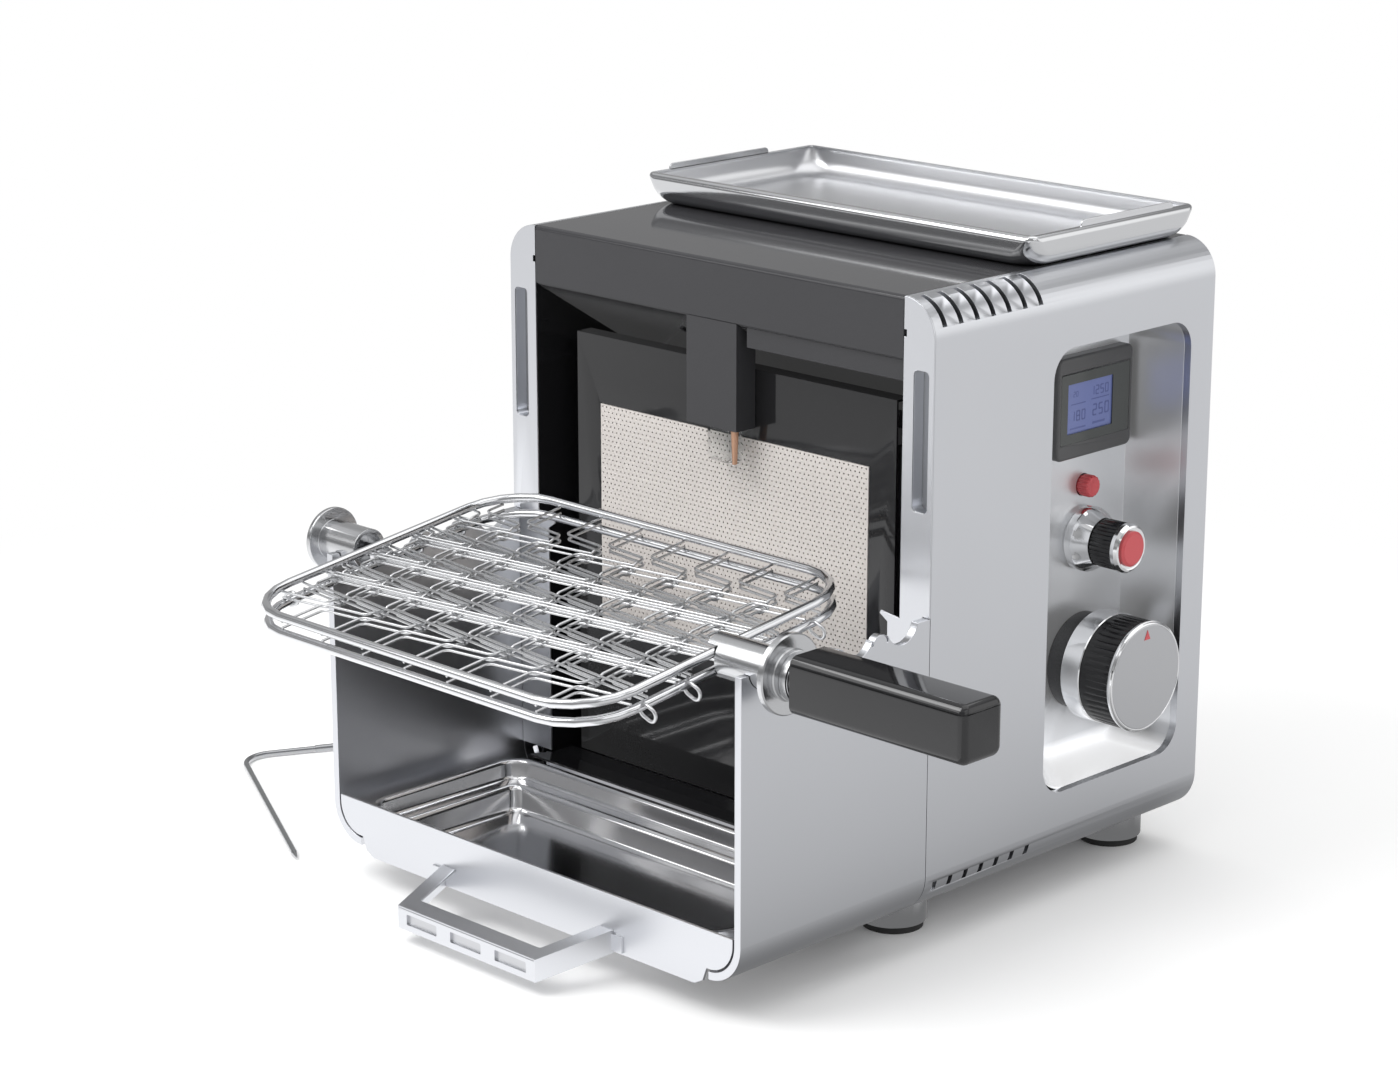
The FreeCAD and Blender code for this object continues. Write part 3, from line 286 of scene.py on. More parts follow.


# A finish: colour, roughness and metal, then the scale of its fine noise, how far that spreads the
# roughness, and how far the fine and the broad noise shift the tone. Fade is painted shade and highlight
# that scales the colour, and the painted light is an emission that makes a part glow; both run along one axis
# of the drawing: axis, from, to, and the values there.
def finish(colour, rough, metal, scale, vary, tone, drift, bump=0, fade=None, glow=None, sockets=None):
    return {"colour": colour, "rough": rough, "metal": metal, "scale": scale, "vary": vary, "tone": tone,
            "drift": drift, "bump": bump, "fade": fade, "glow": glow, "sockets": sockets or {}}


finishes = {
    "satin_steel": finish((0.62, 0.63, 0.655), 0.30, 1, 1400, 0.02, 0.012, 0.015),
    "polished_steel": finish((0.68, 0.685, 0.70), 0.15, 1, 1600, 0.03, 0.02, 0.02),
    "charcoal_enamel": finish((0.038, 0.038, 0.041), 0.07, 0, 900, 0.02, 0.06, 0.05,
                              sockets={"Specular IOR Level": 0.30}),
    "black_enamel": finish((0.010, 0.010, 0.011), 0.12, 0, 700, 0.04, 0.15, 0.1,
                           sockets={"Specular IOR Level": 0.4}),
    "plain_steel": finish((0.42, 0.42, 0.44), 0.42, 1, 700, 0.05, 0.06, 0.06),
    "burner_ceramic": finish((0.58, 0.545, 0.52), 0.92, 0, 1300, 0.05, 0.05, 0.03, bump=0.25),
    "clear_glass": finish((0.97, 0.98, 0.98), 0.03, 0, 300, 0.01, 0.01, 0.01,
                          sockets={"Transmission Weight": 1.0, "IOR": 1.12}),
    "electrode": finish((0.56, 0.33, 0.22), 0.38, 0.7, 900, 0.08, 0.12, 0.1, bump=0.2),
    "grip_black": finish((0.012, 0.012, 0.013), 0.06, 0, 1500, 0.02, 0.08, 0.08),
    "knob_black": finish((0.008, 0.008, 0.009), 0.20, 0, 1800, 0.05, 0.15, 0.1),
    "knob_silver": finish((0.68, 0.685, 0.70), 0.24, 1, 1800, 0.03, 0.02, 0.02),
    "red_plastic": finish((0.50, 0.065, 0.075), 0.32, 0, 1200, 0.04, 0.05, 0.04),
    "bezel_grey": finish((0.055, 0.055, 0.057), 0.30, 0, 1500, 0.03, 0.05, 0.04),
    "screen_blue": finish((0.13, 0.16, 0.36), 0.2, 0, 1500, 0.02, 0.05, 0.05),
    "board_green": finish((0.02, 0.15, 0.06), 0.4, 0, 600, 0.05, 0.2, 0.1),
    "cast_alloy": finish((0.45, 0.45, 0.46), 0.5, 1, 700, 0.1, 0.08, 0.08, bump=0.3),
    "brass_fitting": finish((0.60, 0.43, 0.17), 0.3, 1, 900, 0.06, 0.06, 0.08),
    "pad_rubber": finish((0.02, 0.02, 0.02), 0.8, 0, 900, 0.08, 0.2, 0.1, bump=0.3),
    # looks that belong to a slot above but differ a little from it
    # painted light: the pocket's bottom wall glows, more towards its lowest part, an emission standing in for
    # light
    "pocket_steel": finish((0.64, 0.65, 0.67), 0.34, 1, 1400, 0.02, 0.012, 0.015,
                           glow=(2, -311, -319.5, 0.09, 0.62)),
    # painted shade and highlight: the colour is brightened at the front of the slot recesses and darkened
    # deeper in
    "slot_steel": finish((0.62, 0.63, 0.655), 0.3, 1, 1400, 0.02, 0.012, 0.015,
                         fade=(1, 8.4, 9.2, 1.3, 0.62)),
    "hub_steel": finish((0.56, 0.565, 0.575), 0.2, 1, 1500, 0.03, 0.02, 0.02),
    "probe_steel": finish((0.36, 0.365, 0.375), 0.22, 1, 1500, 0.03, 0.02, 0.03),
    "pan_steel": finish((0.74, 0.74, 0.75), 0.13, 1, 1500, 0.03, 0.02, 0.02),
    "tray_steel": finish((0.66, 0.665, 0.68), 0.34, 1, 1500, 0.02, 0.012, 0.015),
    "tray_outside": finish((0.62, 0.625, 0.635), 0.12, 1, 1500, 0.02, 0.012, 0.015),
    "chrome": finish((0.80, 0.805, 0.815), 0.09, 1, 1600, 0.03, 0.015, 0.015),
    "face_silver": finish((0.52, 0.525, 0.54), 0.36, 1, 1800, 0.03, 0.02, 0.02),
    "soft_wire": finish((0.60, 0.605, 0.615), 0.28, 1, 1500, 0.03, 0.02, 0.03),
    "speckled_black": finish((0.045, 0.045, 0.047), 0.42, 0, 1300, 0.1, 0.7, 0.2, bump=0.5),
    # painted light: the dark burner plate glows faintly, more towards its left end
    "burner_plate": finish((0.014, 0.014, 0.015), 0.06, 0, 900, 0.02, 0.06, 0.05,
                           glow=(0, 20, -120, 0, 0.012), sockets={"Specular IOR Level": 0.34}),
    # painted light: the hood glows more the deeper it lies, standing in for light that its recess doesn't get
    "hood_charcoal": finish((0.040, 0.040, 0.043), 0.14, 0, 900, 0.03, 0.06, 0.05,
                            glow=(1, 0, 14, 0, 0.034), sockets={"Specular IOR Level": 0.2}),
    "panel_glass": finish((0.048, 0.052, 0.050), 0.16, 0, 1200, 0.03, 0.06, 0.05),
    "screen_ink": finish((0.080, 0.10, 0.26), 0.2, 0, 1500, 0.03, 0.06, 0.05),
}
# The noise of all finishes, and the stretches of it that the roughness and the tone follow
grain = {"fineDetail": 2, "broadScale": 9, "broadDetail": 3, "bumpHeight": 0.0002, "roughOver": (0.25, 0.75),
         "toneOver": (0.3, 0.7)}


def alongAxis(tree, coord, axis, start, end, low, high):
    split = tree.nodes.new("ShaderNodeSeparateXYZ")
    tree.links.new(coord, split.inputs[0])
    return mapRange(tree, split.outputs[axis], zero[axis] + start * mm, zero[axis] + end * mm, low, high)


def makeFinish(name, f, g=grain):
    mat = bpy.data.materials.new(name)
    mat.use_nodes = True
    tree = mat.node_tree
    add, link = tree.nodes.new, tree.links.new
    shader = tree.nodes["Principled BSDF"]
    shader.inputs["Metallic"].default_value = f["metal"]
    for socket, value in f["sockets"].items():
        shader.inputs[socket].default_value = value
    coord = add("ShaderNodeTexCoord").outputs["Object"]
    noises, tones = [], []
    for scale, detail, share in ((f["scale"], g["fineDetail"], f["tone"]),
                                 (g["broadScale"], g["broadDetail"], f["drift"])):
        noise = add("ShaderNodeTexNoise")
        noise.inputs["Scale"].default_value = scale
        noise.inputs["Detail"].default_value = detail
        link(coord, noise.inputs["Vector"])
        noises.append(noise.outputs["Fac"])
        stops = zip(g["toneOver"], (1 - share, 1 + share))
        tones.append(colourRamp(tree, noises[-1], stops, f["colour"]))
    low, high = f["rough"] - f["vary"] / 2, f["rough"] + f["vary"] / 2
    link(mapRange(tree, noises[0], *g["roughOver"], low, high), shader.inputs["Roughness"])
    colour = mixColour(tree, 0.5, *tones)
    # painted shade and highlight: the colour is scaled up or down along one axis
    if f["fade"]:
        colour = mixColour(tree, 1, colour, alongAxis(tree, coord, *f["fade"]), "MULTIPLY")
    link(colour, shader.inputs["Base Color"])
    # painted light: an emission growing along one axis makes the part glow though it is no lamp
    if f["glow"]:
        shader.inputs["Emission Color"].default_value = (1, 1, 1, 1)
        link(alongAxis(tree, coord, *f["glow"]), shader.inputs["Emission Strength"])
    if f["bump"]:
        bumper = add("ShaderNodeBump")
        bumper.inputs["Strength"].default_value = f["bump"]
        bumper.inputs["Distance"].default_value = g["bumpHeight"]
        link(noises[0], bumper.inputs["Height"])
        link(bumper.outputs[0], shader.inputs["Normal"])
    return mat


def titleName(name):
    return "".join(part.title() for part in name.split("_"))


materials = {name: makeFinish(titleName(name), f) for name, f in finishes.items()}
nodeSlot = {row["node"]: row["material_slot"] for row in frame["record"]["subparts"]}
nodeLook = dict(nodeSlot, hood_ceiling="hood_charcoal", burner_frame="burner_plate", probe="probe_steel",
                control_pocket="pocket_steel", slot_pockets="slot_steel", hub_left="hub_steel",
                feet="hub_steel")
for name, obj in nodes.items():
    obj.data.materials.clear()
    obj.data.materials.append(materials[nodeLook[name]])
print("materials made:", len(materials))


# Clean-up of meshes: points closer than this in metres become one, and CAD edges flatter than this in
# degrees go
cleanUp = {"weld": 1e-6, "cadWeld": 2e-6, "flat": 0.6}


def finishPiece(obj, body, slot, replaced=(), smooth=True, angle=35, look=None):
    obj.data.materials.clear()
    obj.data.materials.append(materials[look or slot])
    if smooth:
        obj.data.shade_smooth()
        obj.data.set_sharp_from_angle(angle=math.radians(angle))
    else:
        obj.data.shade_flat()
    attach(obj, body)
    if replaced:
        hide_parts(*replaced)
    return obj


def linked(name, mesh):
    obj = bpy.data.objects.new(name, mesh)
    scene.collection.objects.link(obj)
    return obj


def meshObject(name, points, faces, recalc=True):
    mesh = bpy.data.meshes.new(name)
    mesh.from_pydata([spot(p) for p in points], [], faces)
    if recalc:
        bm = bmesh.new()
        bm.from_mesh(mesh)
        bmesh.ops.remove_doubles(bm, verts=bm.verts, dist=cleanUp["weld"])
        bmesh.ops.recalc_face_normals(bm, faces=bm.faces)
        bm.to_mesh(mesh)
        bm.free()
    return linked(name, mesh)


def addBevel(obj, width, segments=2, angle=35):
    mod = obj.modifiers.new("edges", "BEVEL")
    mod.width = width * mm
    mod.segments = segments
    mod.limit_method = "ANGLE"
    mod.angle_limit = math.radians(angle)
    mod.miter_outer = "MITER_ARC"
    mod.harden_normals = True


# Puts what the modifiers make into the object's own mesh
def bakeModifiers(obj):
    bpy.context.view_layer.update()
    mesh = bpy.data.meshes.new_from_object(obj.evaluated_get(bpy.context.evaluated_depsgraph_get()))
    obj.modifiers.clear()
    old, obj.data = obj.data, mesh
    bpy.data.meshes.remove(old)


# The piece of a node, with its edges softened
def dressed(node, width):
    source = nodes[node]
    name = titleName(node)
    name = name[0].lower() + name[1:] + "Skin"
    mesh = source.data.copy()
    mesh.name = name
    bm = bmesh.new()
    bm.from_mesh(mesh)
    bmesh.ops.remove_doubles(bm, verts=bm.verts, dist=cleanUp["cadWeld"])
    flat = math.radians(cleanUp["flat"])
    bmesh.ops.dissolve_limit(bm, angle_limit=flat, verts=bm.verts, edges=bm.edges)
    bm.to_mesh(mesh)
    bm.free()
    obj = linked(name, mesh)
    finishPiece(obj, source["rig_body"], nodeSlot[node], (node,), look=nodeLook[node])
    addBevel(obj, width)


# Rows of points joined into a skin, with a face at each end unless the rows close on themselves
def loft(name, rings, closed=False):
    size, rows = len(rings[0]), len(rings)
    faces = []
    for row in range(rows if closed else rows - 1):
        below, above = row * size, ((row + 1) % rows) * size
        for step in range(size):
            after = (step + 1) % size
            faces.append((below + step, below + after, above + after, above + step))
    if not closed:
        faces += [tuple(range(size)), tuple((rows - 1) * size + step for step in range(size))]
    return meshObject(name, [point for ring in rings for point in ring], faces)


# Turned about an axis along x; a row may give a groove depth as its third number, cut where the pattern is 1
def latheMesh(name, profile, y, z, turns=96, pattern=(0,)):
    rings = []
    for x, radius, *groove in profile:
        depth = groove[0] if groove else 0
        ring = []
        for step in range(turns):
            a = 2 * math.pi * step / turns
            reach = radius - depth * pattern[step % len(pattern)]
            ring.append((x, y + reach * math.cos(a), z + reach * math.sin(a)))
        rings.append(ring)
    return loft(name, rings)


def roundedRing(halfX, y0, y1, corner, z, steps=8):
    ring = []
    centres = [(halfX - corner, y1 - corner, 0), (-halfX + corner, y1 - corner, 90),
               (-halfX + corner, y0 + corner, 180), (halfX - corner, y0 + corner, 270)]
    for cx, cy, start in centres:
        for step in range(steps + 1):
            a = math.radians(start + 90 * step / steps)
            ring.append((cx + corner * math.cos(a), cy + corner * math.sin(a), z))
    return ring


# A sheet vessel: the section goes up the outside and down the inside, as (inset, height) pairs.
# The corner radius runs from its value at the base to that at the rim.
def vessel(name, halfX, y0, y1, corners, section, least=0.5):
    low, high = (pick(height for inset, height in section) for pick in (min, max))
    rings = []
    for inset, height in section:
        radius = corners[0] + (corners[1] - corners[0]) * (height - low) / (high - low)
        rings.append(roundedRing(halfX - inset, y0 + inset, y1 - inset, max(radius - inset, least), height))
    return loft(name, rings)


def flatOutline(u, v, halfU, halfV, corner, steps=5):
    return [(p[0] + u, p[1] + v) for p in roundedRing(halfU, -halfV, halfV, corner, 0, steps)]


# The corners and outward faces of a box
def boxParts(low, high):
    points = [(x, y, z) for x in (low[0], high[0]) for y in (low[1], high[1]) for z in (low[2], high[2])]
    return points, [(0, 1, 3, 2), (4, 6, 7, 5), (0, 4, 5, 1), (2, 3, 7, 6), (0, 2, 6, 4), (1, 5, 7, 3)]


# Geometry Nodes trees: named inputs first, Realize Instances and Set Material last
def newTree(name, inputs):
    tree = bpy.data.node_groups.new(name, "GeometryNodeTree")
    for label, kind in (("Geometry", "Geometry"), *inputs, ("Material", "Material")):
        tree.interface.new_socket(label, in_out="INPUT", socket_type="NodeSocket" + kind)
    tree.interface.new_socket("Geometry", in_out="OUTPUT", socket_type="NodeSocketGeometry")
    return tree, tree.nodes.new("NodeGroupInput").outputs


def endTree(tree, geometry, material):
    add, link = tree.nodes.new, tree.links.new
    real, paint = add("GeometryNodeRealizeInstances"), add("GeometryNodeSetMaterial")
    out = add("NodeGroupOutput")
    link(geometry, real.inputs["Geometry"])
    link(real.outputs["Geometry"], paint.inputs["Geometry"])
    link(material, paint.inputs["Material"])
    link(paint.outputs["Geometry"], out.inputs["Geometry"])
    return tree


def bakeTree(obj, tree, values):
    mod = obj.modifiers.new("nodes", "NODES")
    mod.node_group = tree
    for item in tree.interface.items_tree:
        if item.item_type == "SOCKET" and item.in_out == "INPUT" and item.name in values:
            mod[item.identifier] = values[item.name]
    bakeModifiers(obj)


# Round wire: rounds the corners of a path and sweeps a circle along it
def wireTree():
    inputs = (("Wire Radius", "Float"), ("Bend Radius", "Float"), ("Bend Steps", "Int"), ("Sides", "Int"))
    tree, source = newTree("roundWire", inputs)
    add, link = tree.nodes.new, tree.links.new
    curve, fillet = add("GeometryNodeMeshToCurve"), add("GeometryNodeFilletCurve")
    fillet.mode = "POLY"
    fillet.inputs["Limit Radius"].default_value = True
    circle, sweep = add("GeometryNodeCurvePrimitiveCircle"), add("GeometryNodeCurveToMesh")
    sweep.inputs["Fill Caps"].default_value = True
    smooth = add("GeometryNodeSetShadeSmooth")
    link(source["Geometry"], curve.inputs["Mesh"])
    link(curve.outputs["Curve"], fillet.inputs["Curve"])
    link(source["Bend Radius"], fillet.inputs["Radius"])
    link(source["Bend Steps"], fillet.inputs["Count"])
    link(source["Wire Radius"], circle.inputs["Radius"])
    link(source["Sides"], circle.inputs["Resolution"])
    link(fillet.outputs["Curve"], sweep.inputs["Curve"])
    link(circle.outputs["Curve"], sweep.inputs["Profile Curve"])
    link(sweep.outputs["Mesh"], smooth.inputs["Geometry"])
    return endTree(tree, smooth.outputs["Geometry"], source["Material"])


roundWire = wireTree()


def wirePiece(name, paths, radius, bend, slot, body, replaced=(), sides=12, closed=False, look=None):
    points, edges = [], []
    for path in paths:
        first = len(points)
        points += [spot(p) for p in path]
        edges += [(first + i, first + i + 1) for i in range(len(path) - 1)]
        if closed:
            edges.append((len(points) - 1, first))
    mesh = bpy.data.meshes.new(name)
    mesh.from_pydata(points, edges, [])
    obj = linked(name, mesh)
    bakeTree(obj, roundWire, {"Wire Radius": radius * mm, "Bend Radius": bend * mm, "Bend Steps": 5,
                              "Sides": sides, "Material": materials[look or slot]})
    return finishPiece(obj, body, slot, replaced, angle=50, look=look)


# Basket: two rod frames with a wire grid each, tilted about the turning axis. A wire of the grid runs in
# steps from the front or back rod to the side rods and dips under the wires that it crosses.
basket = {
    "y": -135, "drop": 181.5, "tilt": 7.5, "rod": 2.75, "sideX": 145.5, "endS": 108.2, "corner": 37,
    "halfGap": 5.3, "wire": 0.8, "layer": 1.8, "dip": 1.6, "bend": 4.2, "pitch": 36, "rowPitch": 34.3,
    "rise": 3.5, "frontRow": 77, "backRow": 79, "edge": 143, "rows": 5, "wires": (-12, 4),
    "crossing": (-6.7, -4.3, 0.8, 3.2),  # from a crossing: starts down, is down, starts up, is up
    "families": ((1, 0, 30, 27.8), (-1, 6, 6, 3.8)),  # from front (1) or back: offset, shift, last trim
    "links": {1: (-67.0, -33.0, 66.5), -1: (-67.0, 31.5, 66.5)}, "linkReach": 12.0, "linkHalf": 3.9,
    "linkSlope": -23, "linkWire": 1.0, "linkBend": 3.85,
}


def tilt(points, b=basket):
    c, s = math.cos(math.radians(b["tilt"])), math.sin(math.radians(b["tilt"]))
    return [(x, b["y"] + y * c - z * s, -b["drop"] + y * s + z * c) for x, y, z in points]


def rodReach(x, b=basket):
    beyond = abs(x) - (b["sideX"] - b["corner"])
    if beyond <= 0:
        return b["endS"]
    return b["endS"] - b["corner"] + math.sqrt(b["corner"] ** 2 - beyond ** 2)


def staircase(first, firstRow, otherRow, shift, trim, level, b=basket):
    low, rise, last = level - b["dip"], b["rise"], b["rows"] - 1
    path = [(first, -rodReach(first), level)] if abs(first) < b["edge"] else []
    x, s = first, firstRow
    path.append((x, s, level))
    for row in range(b["rows"]):
        run = b["pitch"] * (1 if row == 0 else 2) - (trim if row == last else 0)
        x += run
        s += rise * run / b["pitch"]
        path.append((x, s, level))
        if row == last:
            break
        s = firstRow + b["rowPitch"] * (row + 1)
        cross = -(otherRow + b["rowPitch"] * (last - row)) - rise * shift / b["pitch"]
        path += [(x, cross + past, z) for past, z in zip(b["crossing"], (level, low, low, level))]
        path.append((x, s, level))
    inside = [i for i, p in enumerate(path) if abs(p[0]) < b["edge"]]
    if not inside:
        return None

    def cut(p, q, edge):
        share = (edge - p[0]) / (q[0] - p[0])
        return tuple(p[k] + (q[k] - p[k]) * share for k in range(3))

    kept = path[inside[0]:inside[-1] + 1]
    if inside[0] > 0:
        kept.insert(0, cut(path[inside[0] - 1], path[inside[0]], -b["sideX"]))
    if inside[-1] < len(path) - 1:
        kept.append(cut(path[inside[-1]], path[inside[-1] + 1], b["sideX"]))
    return kept if len(kept) > 1 else None


def gridPaths(level, b=basket):
    paths = []
    for sign, offset, shift, trim in b["families"]:
        own, other = (b["frontRow"], b["backRow"]) if sign > 0 else (b["backRow"], b["frontRow"])
        for index in range(*b["wires"]):
            path = staircase(offset + b["pitch"] * index, -own, -other, shift, trim, level)
            if path:
                paths.append(tilt([(x, y * sign, z) for x, y, z in path]))
    return paths


def buildBasket(b=basket):
    side, end = b["sideX"], b["endS"]
    corners = ((-side, -end), (side, -end), (side, end), (-side, end))
    for name, up in (("lower", -1), ("upper", 1)):
        path = tilt([(x, y, up * b["halfGap"]) for x, y in corners])
        wirePiece(name + "Frame", [path], b["rod"], b["corner"], "polished_steel", "basket",
                  (f"basket_{name}_frame",), sides=20, closed=True)
        wirePiece(name + "Grid", gridPaths(up * b["layer"]), b["wire"], b["bend"], "polished_steel",
                  "basket", (f"basket_{name}_mesh",), sides=8, look="soft_wire")


def buildLinks(b=basket):
    slope = math.radians(b["linkSlope"])
    ahead, across = (math.cos(slope), math.sin(slope)), (-math.sin(slope), math.cos(slope))
    paths = []
    for side in (-1, 1):
        for s in b["links"][side]:
            corners = []
            for reach, half in ((0, 1), (b["linkReach"], 1), (b["linkReach"], -1), (0, -1)):
                x = b["sideX"] + ahead[0] * reach + across[0] * half * b["linkHalf"]
                z = -b["halfGap"] + ahead[1] * reach + across[1] * half * b["linkHalf"]
                corners.append((side * x, s, z))
            paths.append(tilt(corners))
    wirePiece("links", paths, b["linkWire"], b["linkBend"], "polished_steel", "basket", ("basket_links",),
              look="soft_wire", closed=True)


buildBasket()
buildLinks()
print("basket made")


# Right hub of the basket: the tube takes both side rods in its slot
hub = {"start": 140.0, "outer": 12.5, "bore": 10.0, "bottom": 160.6, "slotEnd": 148.6, "slotHalf": 8.35,
       "ring": 190.0, "ringOuter": 23.0, "ringThick": 4.6, "neck": 14.2, "stem": 12.4, "end": 231.5,
       # grooves of the neck: from and to, counted from the ring, then the radius in it and behind it
       "grooves": ((8.0, 9.2, 13.5, 14.2), (13.2, 14.4, 13.4, 12.4))}


def cutAway(obj, low, high):
    cutter = meshObject("cutter", *boxParts(low, high))
    mod = obj.modifiers.new("cut", "BOOLEAN")
    mod.operation = "DIFFERENCE"
    mod.object = cutter
    bakeModifiers(obj)
    bpy.data.objects.remove(cutter)


def buildHub(h=hub):
    start, ring, outer, neck, rim = h["start"], h["ring"], h["outer"], h["neck"], h["ringOuter"]
    after = ring + h["ringThick"]
    profile = [(h["bottom"], 0.4), (h["bottom"], h["bore"]), (start + 0.5, h["bore"]),
               (start, h["bore"] + 0.4), (start, outer - 0.5), (start + 0.5, outer), (ring - 0.7, outer),
               (ring, outer + 0.7), (ring, rim - 0.8), (ring + 0.8, rim), (after - 0.8, rim),
               (after, rim - 0.8), (after, neck + 0.7), (after + 0.6, neck)]
    for left, right, floor, back in h["grooves"]:
        profile += [(ring + left, neck), (ring + left + 0.3, floor), (ring + right - 0.3, floor),
                    (ring + right, back)]
    profile.append((h["end"], h["stem"]))
    y, z = basket["y"], -basket["drop"]
    obj = latheMesh("hubRight", profile, y, z, turns=128)
    cutAway(obj, (start - 1, y - 20, z - h["slotHalf"]), (h["slotEnd"], y + 20, z + h["slotHalf"]))
    finishPiece(obj, "grip_unit", "polished_steel", ("hub_right",), angle=30, look="hub_steel")


buildHub()
print("hub made")


# Burner tile with its staggered rows of holes
tile = {"columns": 64, "rows": 48, "pitchX": 3.5, "top": 109.0, "bottom": 254.0, "front": 16.8, "thick": 12.0,
        "hole": 0.62, "depth": 2.2}


def tileTree():
    inputs = (("Cell", "Object"), ("Pitch X", "Float"), ("Pitch Z", "Float"), ("Columns", "Int"),
              ("Rows", "Int"), ("Corner", "Vector"))
    tree, source = newTree("holeRows", inputs)
    add, link = tree.nodes.new, tree.links.new

    def maths(kind, a, b=0):
        return mathNode(tree, kind, a, b)

    halfRows = maths("DIVIDE", source["Rows"], 2)
    join = add("GeometryNodeJoinGeometry")
    for odd in (0, 1):  # every second row has one hole less and starts half a pitch later
        across = maths("SUBTRACT", source["Columns"], odd)
        line = add("GeometryNodeMeshLine")
        link(maths("MULTIPLY", across, halfRows), line.inputs["Count"])
        index = add("GeometryNodeInputIndex").outputs[0]
        column = maths("ADD", maths("MODULO", index, across), 0.5 + 0.5 * odd)
        row = maths("ADD", maths("MULTIPLY", maths("FLOOR", maths("DIVIDE", index, across)), 2), 0.5 + odd)
        place = add("ShaderNodeCombineXYZ")
        link(maths("MULTIPLY", column, source["Pitch X"]), place.inputs["X"])
        link(maths("MULTIPLY", maths("MULTIPLY", row, source["Pitch Z"]), -1), place.inputs["Z"])
        shifted = add("ShaderNodeVectorMath")
        link(place.outputs[0], shifted.inputs[0])
        link(source["Corner"], shifted.inputs[1])
        move = add("GeometryNodeSetPosition")
        link(line.outputs["Mesh"], move.inputs["Geometry"])
        link(shifted.outputs[0], move.inputs["Position"])
        link(move.outputs["Geometry"], join.inputs["Geometry"])
    cell, stamp = add("GeometryNodeObjectInfo"), add("GeometryNodeInstanceOnPoints")
    link(source["Cell"], cell.inputs["Object"])
    link(join.outputs[0], stamp.inputs["Points"])
    link(cell.outputs["Geometry"], stamp.inputs["Instance"])
    return endTree(tree, stamp.outputs[0], source["Material"])


# One cell of the tile's face with its hole; it stands at the world's zero because the tree places it
def holeCell(t, pitchZ):
    halfX, halfZ = t["pitchX"] / 2 * mm, pitchZ / 2 * mm
    rim = [(halfX, 0), (halfX, halfZ), (0, halfZ), (-halfX, halfZ), (-halfX, 0), (-halfX, -halfZ),
           (0, -halfZ), (halfX, -halfZ)]
    sides, reach = len(rim), t["hole"] * mm
    turns = [2 * math.pi * k / sides for k in range(sides)]
    hole = [(reach * math.cos(a), reach * math.sin(a)) for a in turns]
    points = [(x, 0, z) for x, z in rim + hole] + [(x, t["depth"] * mm, z) for x, z in hole]
    faces = [tuple(2 * sides + k for k in range(sides))]
    for k in range(sides):
        after = (k + 1) % sides
        faces.append((sides + after, sides + k, k, after))
        faces.append((2 * sides + after, 2 * sides + k, sides + k, sides + after))
    mesh = bpy.data.meshes.new("holeCell")
    mesh.from_pydata(points, [], faces)
    return linked("holeCell", mesh)


def buildTile(t=tile):
    pitchZ = (t["bottom"] - t["top"]) / t["rows"]
    half, front, top = t["columns"] * t["pitchX"] / 2, t["front"], -t["top"]
    cell = holeCell(t, pitchZ)
    mesh = bpy.data.meshes.new("burnerTile")
    mesh.from_pydata([(0, 0, 0)], [], [])
    obj = linked("burnerTile", mesh)
    bakeTree(obj, tileTree(), {"Cell": cell, "Pitch X": t["pitchX"] * mm, "Pitch Z": pitchZ * mm,
                               "Columns": t["columns"], "Rows": t["rows"],
                               "Corner": spot((-half, front, top)), "Material": materials["burner_ceramic"]})
    bpy.data.objects.remove(cell)
    bm = bmesh.new()
    bm.from_mesh(obj.data)

    def corners(x0, x1, z0, z1, y):
        return [bm.verts.new(spot((x, y, z))) for x, z in ((x0, z0), (x1, z0), (x1, z1), (x0, z1))]

    for row in range(1, t["rows"], 2):  # half cells at the ends of the short rows
        for side in (-1, 1):
            x0, x1 = sorted((side * half, side * (half - t["pitchX"] / 2)))
            bm.faces.new(corners(x0, x1, top - pitchZ * (row + 1), top - pitchZ * row, front))
    frontRing, backRing = (corners(-half, half, -t["bottom"], top, y) for y in (front, front + t["thick"]))
    for k in range(4):
        after = (k + 1) % 4
        bm.faces.new((frontRing[k], backRing[k], backRing[after], frontRing[after]))
    bm.faces.new(backRing)
    bmesh.ops.remove_doubles(bm, verts=bm.verts, dist=cleanUp["weld"])
    bm.to_mesh(obj.data)
    bm.free()
    finishPiece(obj, "housing", "burner_ceramic", ("burner_tile",), smooth=False)


buildTile()
print("burner tile made")


# Top tray: a sheet vessel, its section given from the outer base up and back down inside
tray = {
    "halfX": 160.0, "y0": 102.0, "y1": 258.0, "corners": (24, 5.5), "low": 0.3, "round": 10.5, "rim": 20.0,
    "shoulder": 4.0, "sheet": 1.0, "mouth": 4.6, "roundSteps": 10, "shoulderSteps": 6,
    "outwardLean": 0.002,  # in metres: how far a face looks away from the middle before it counts as outside
    "lips": (("Left", -1, 121.0, 212.0), ("Right", 1, 151.0, 238.0)), "lip": 3.5, "lipFoot": 0.8,
    "lipCorner": ((0, 2.4), (0.8, 0.8), (2.6, 0)), "lipEdge": 0.25,
}


def arc(inset, height, radius, start, end, steps):
    turns = [math.radians(start + (end - start) * k / steps) for k in range(steps + 1)]
    return [(inset + radius * math.cos(a), height + radius * math.sin(a)) for a in turns]


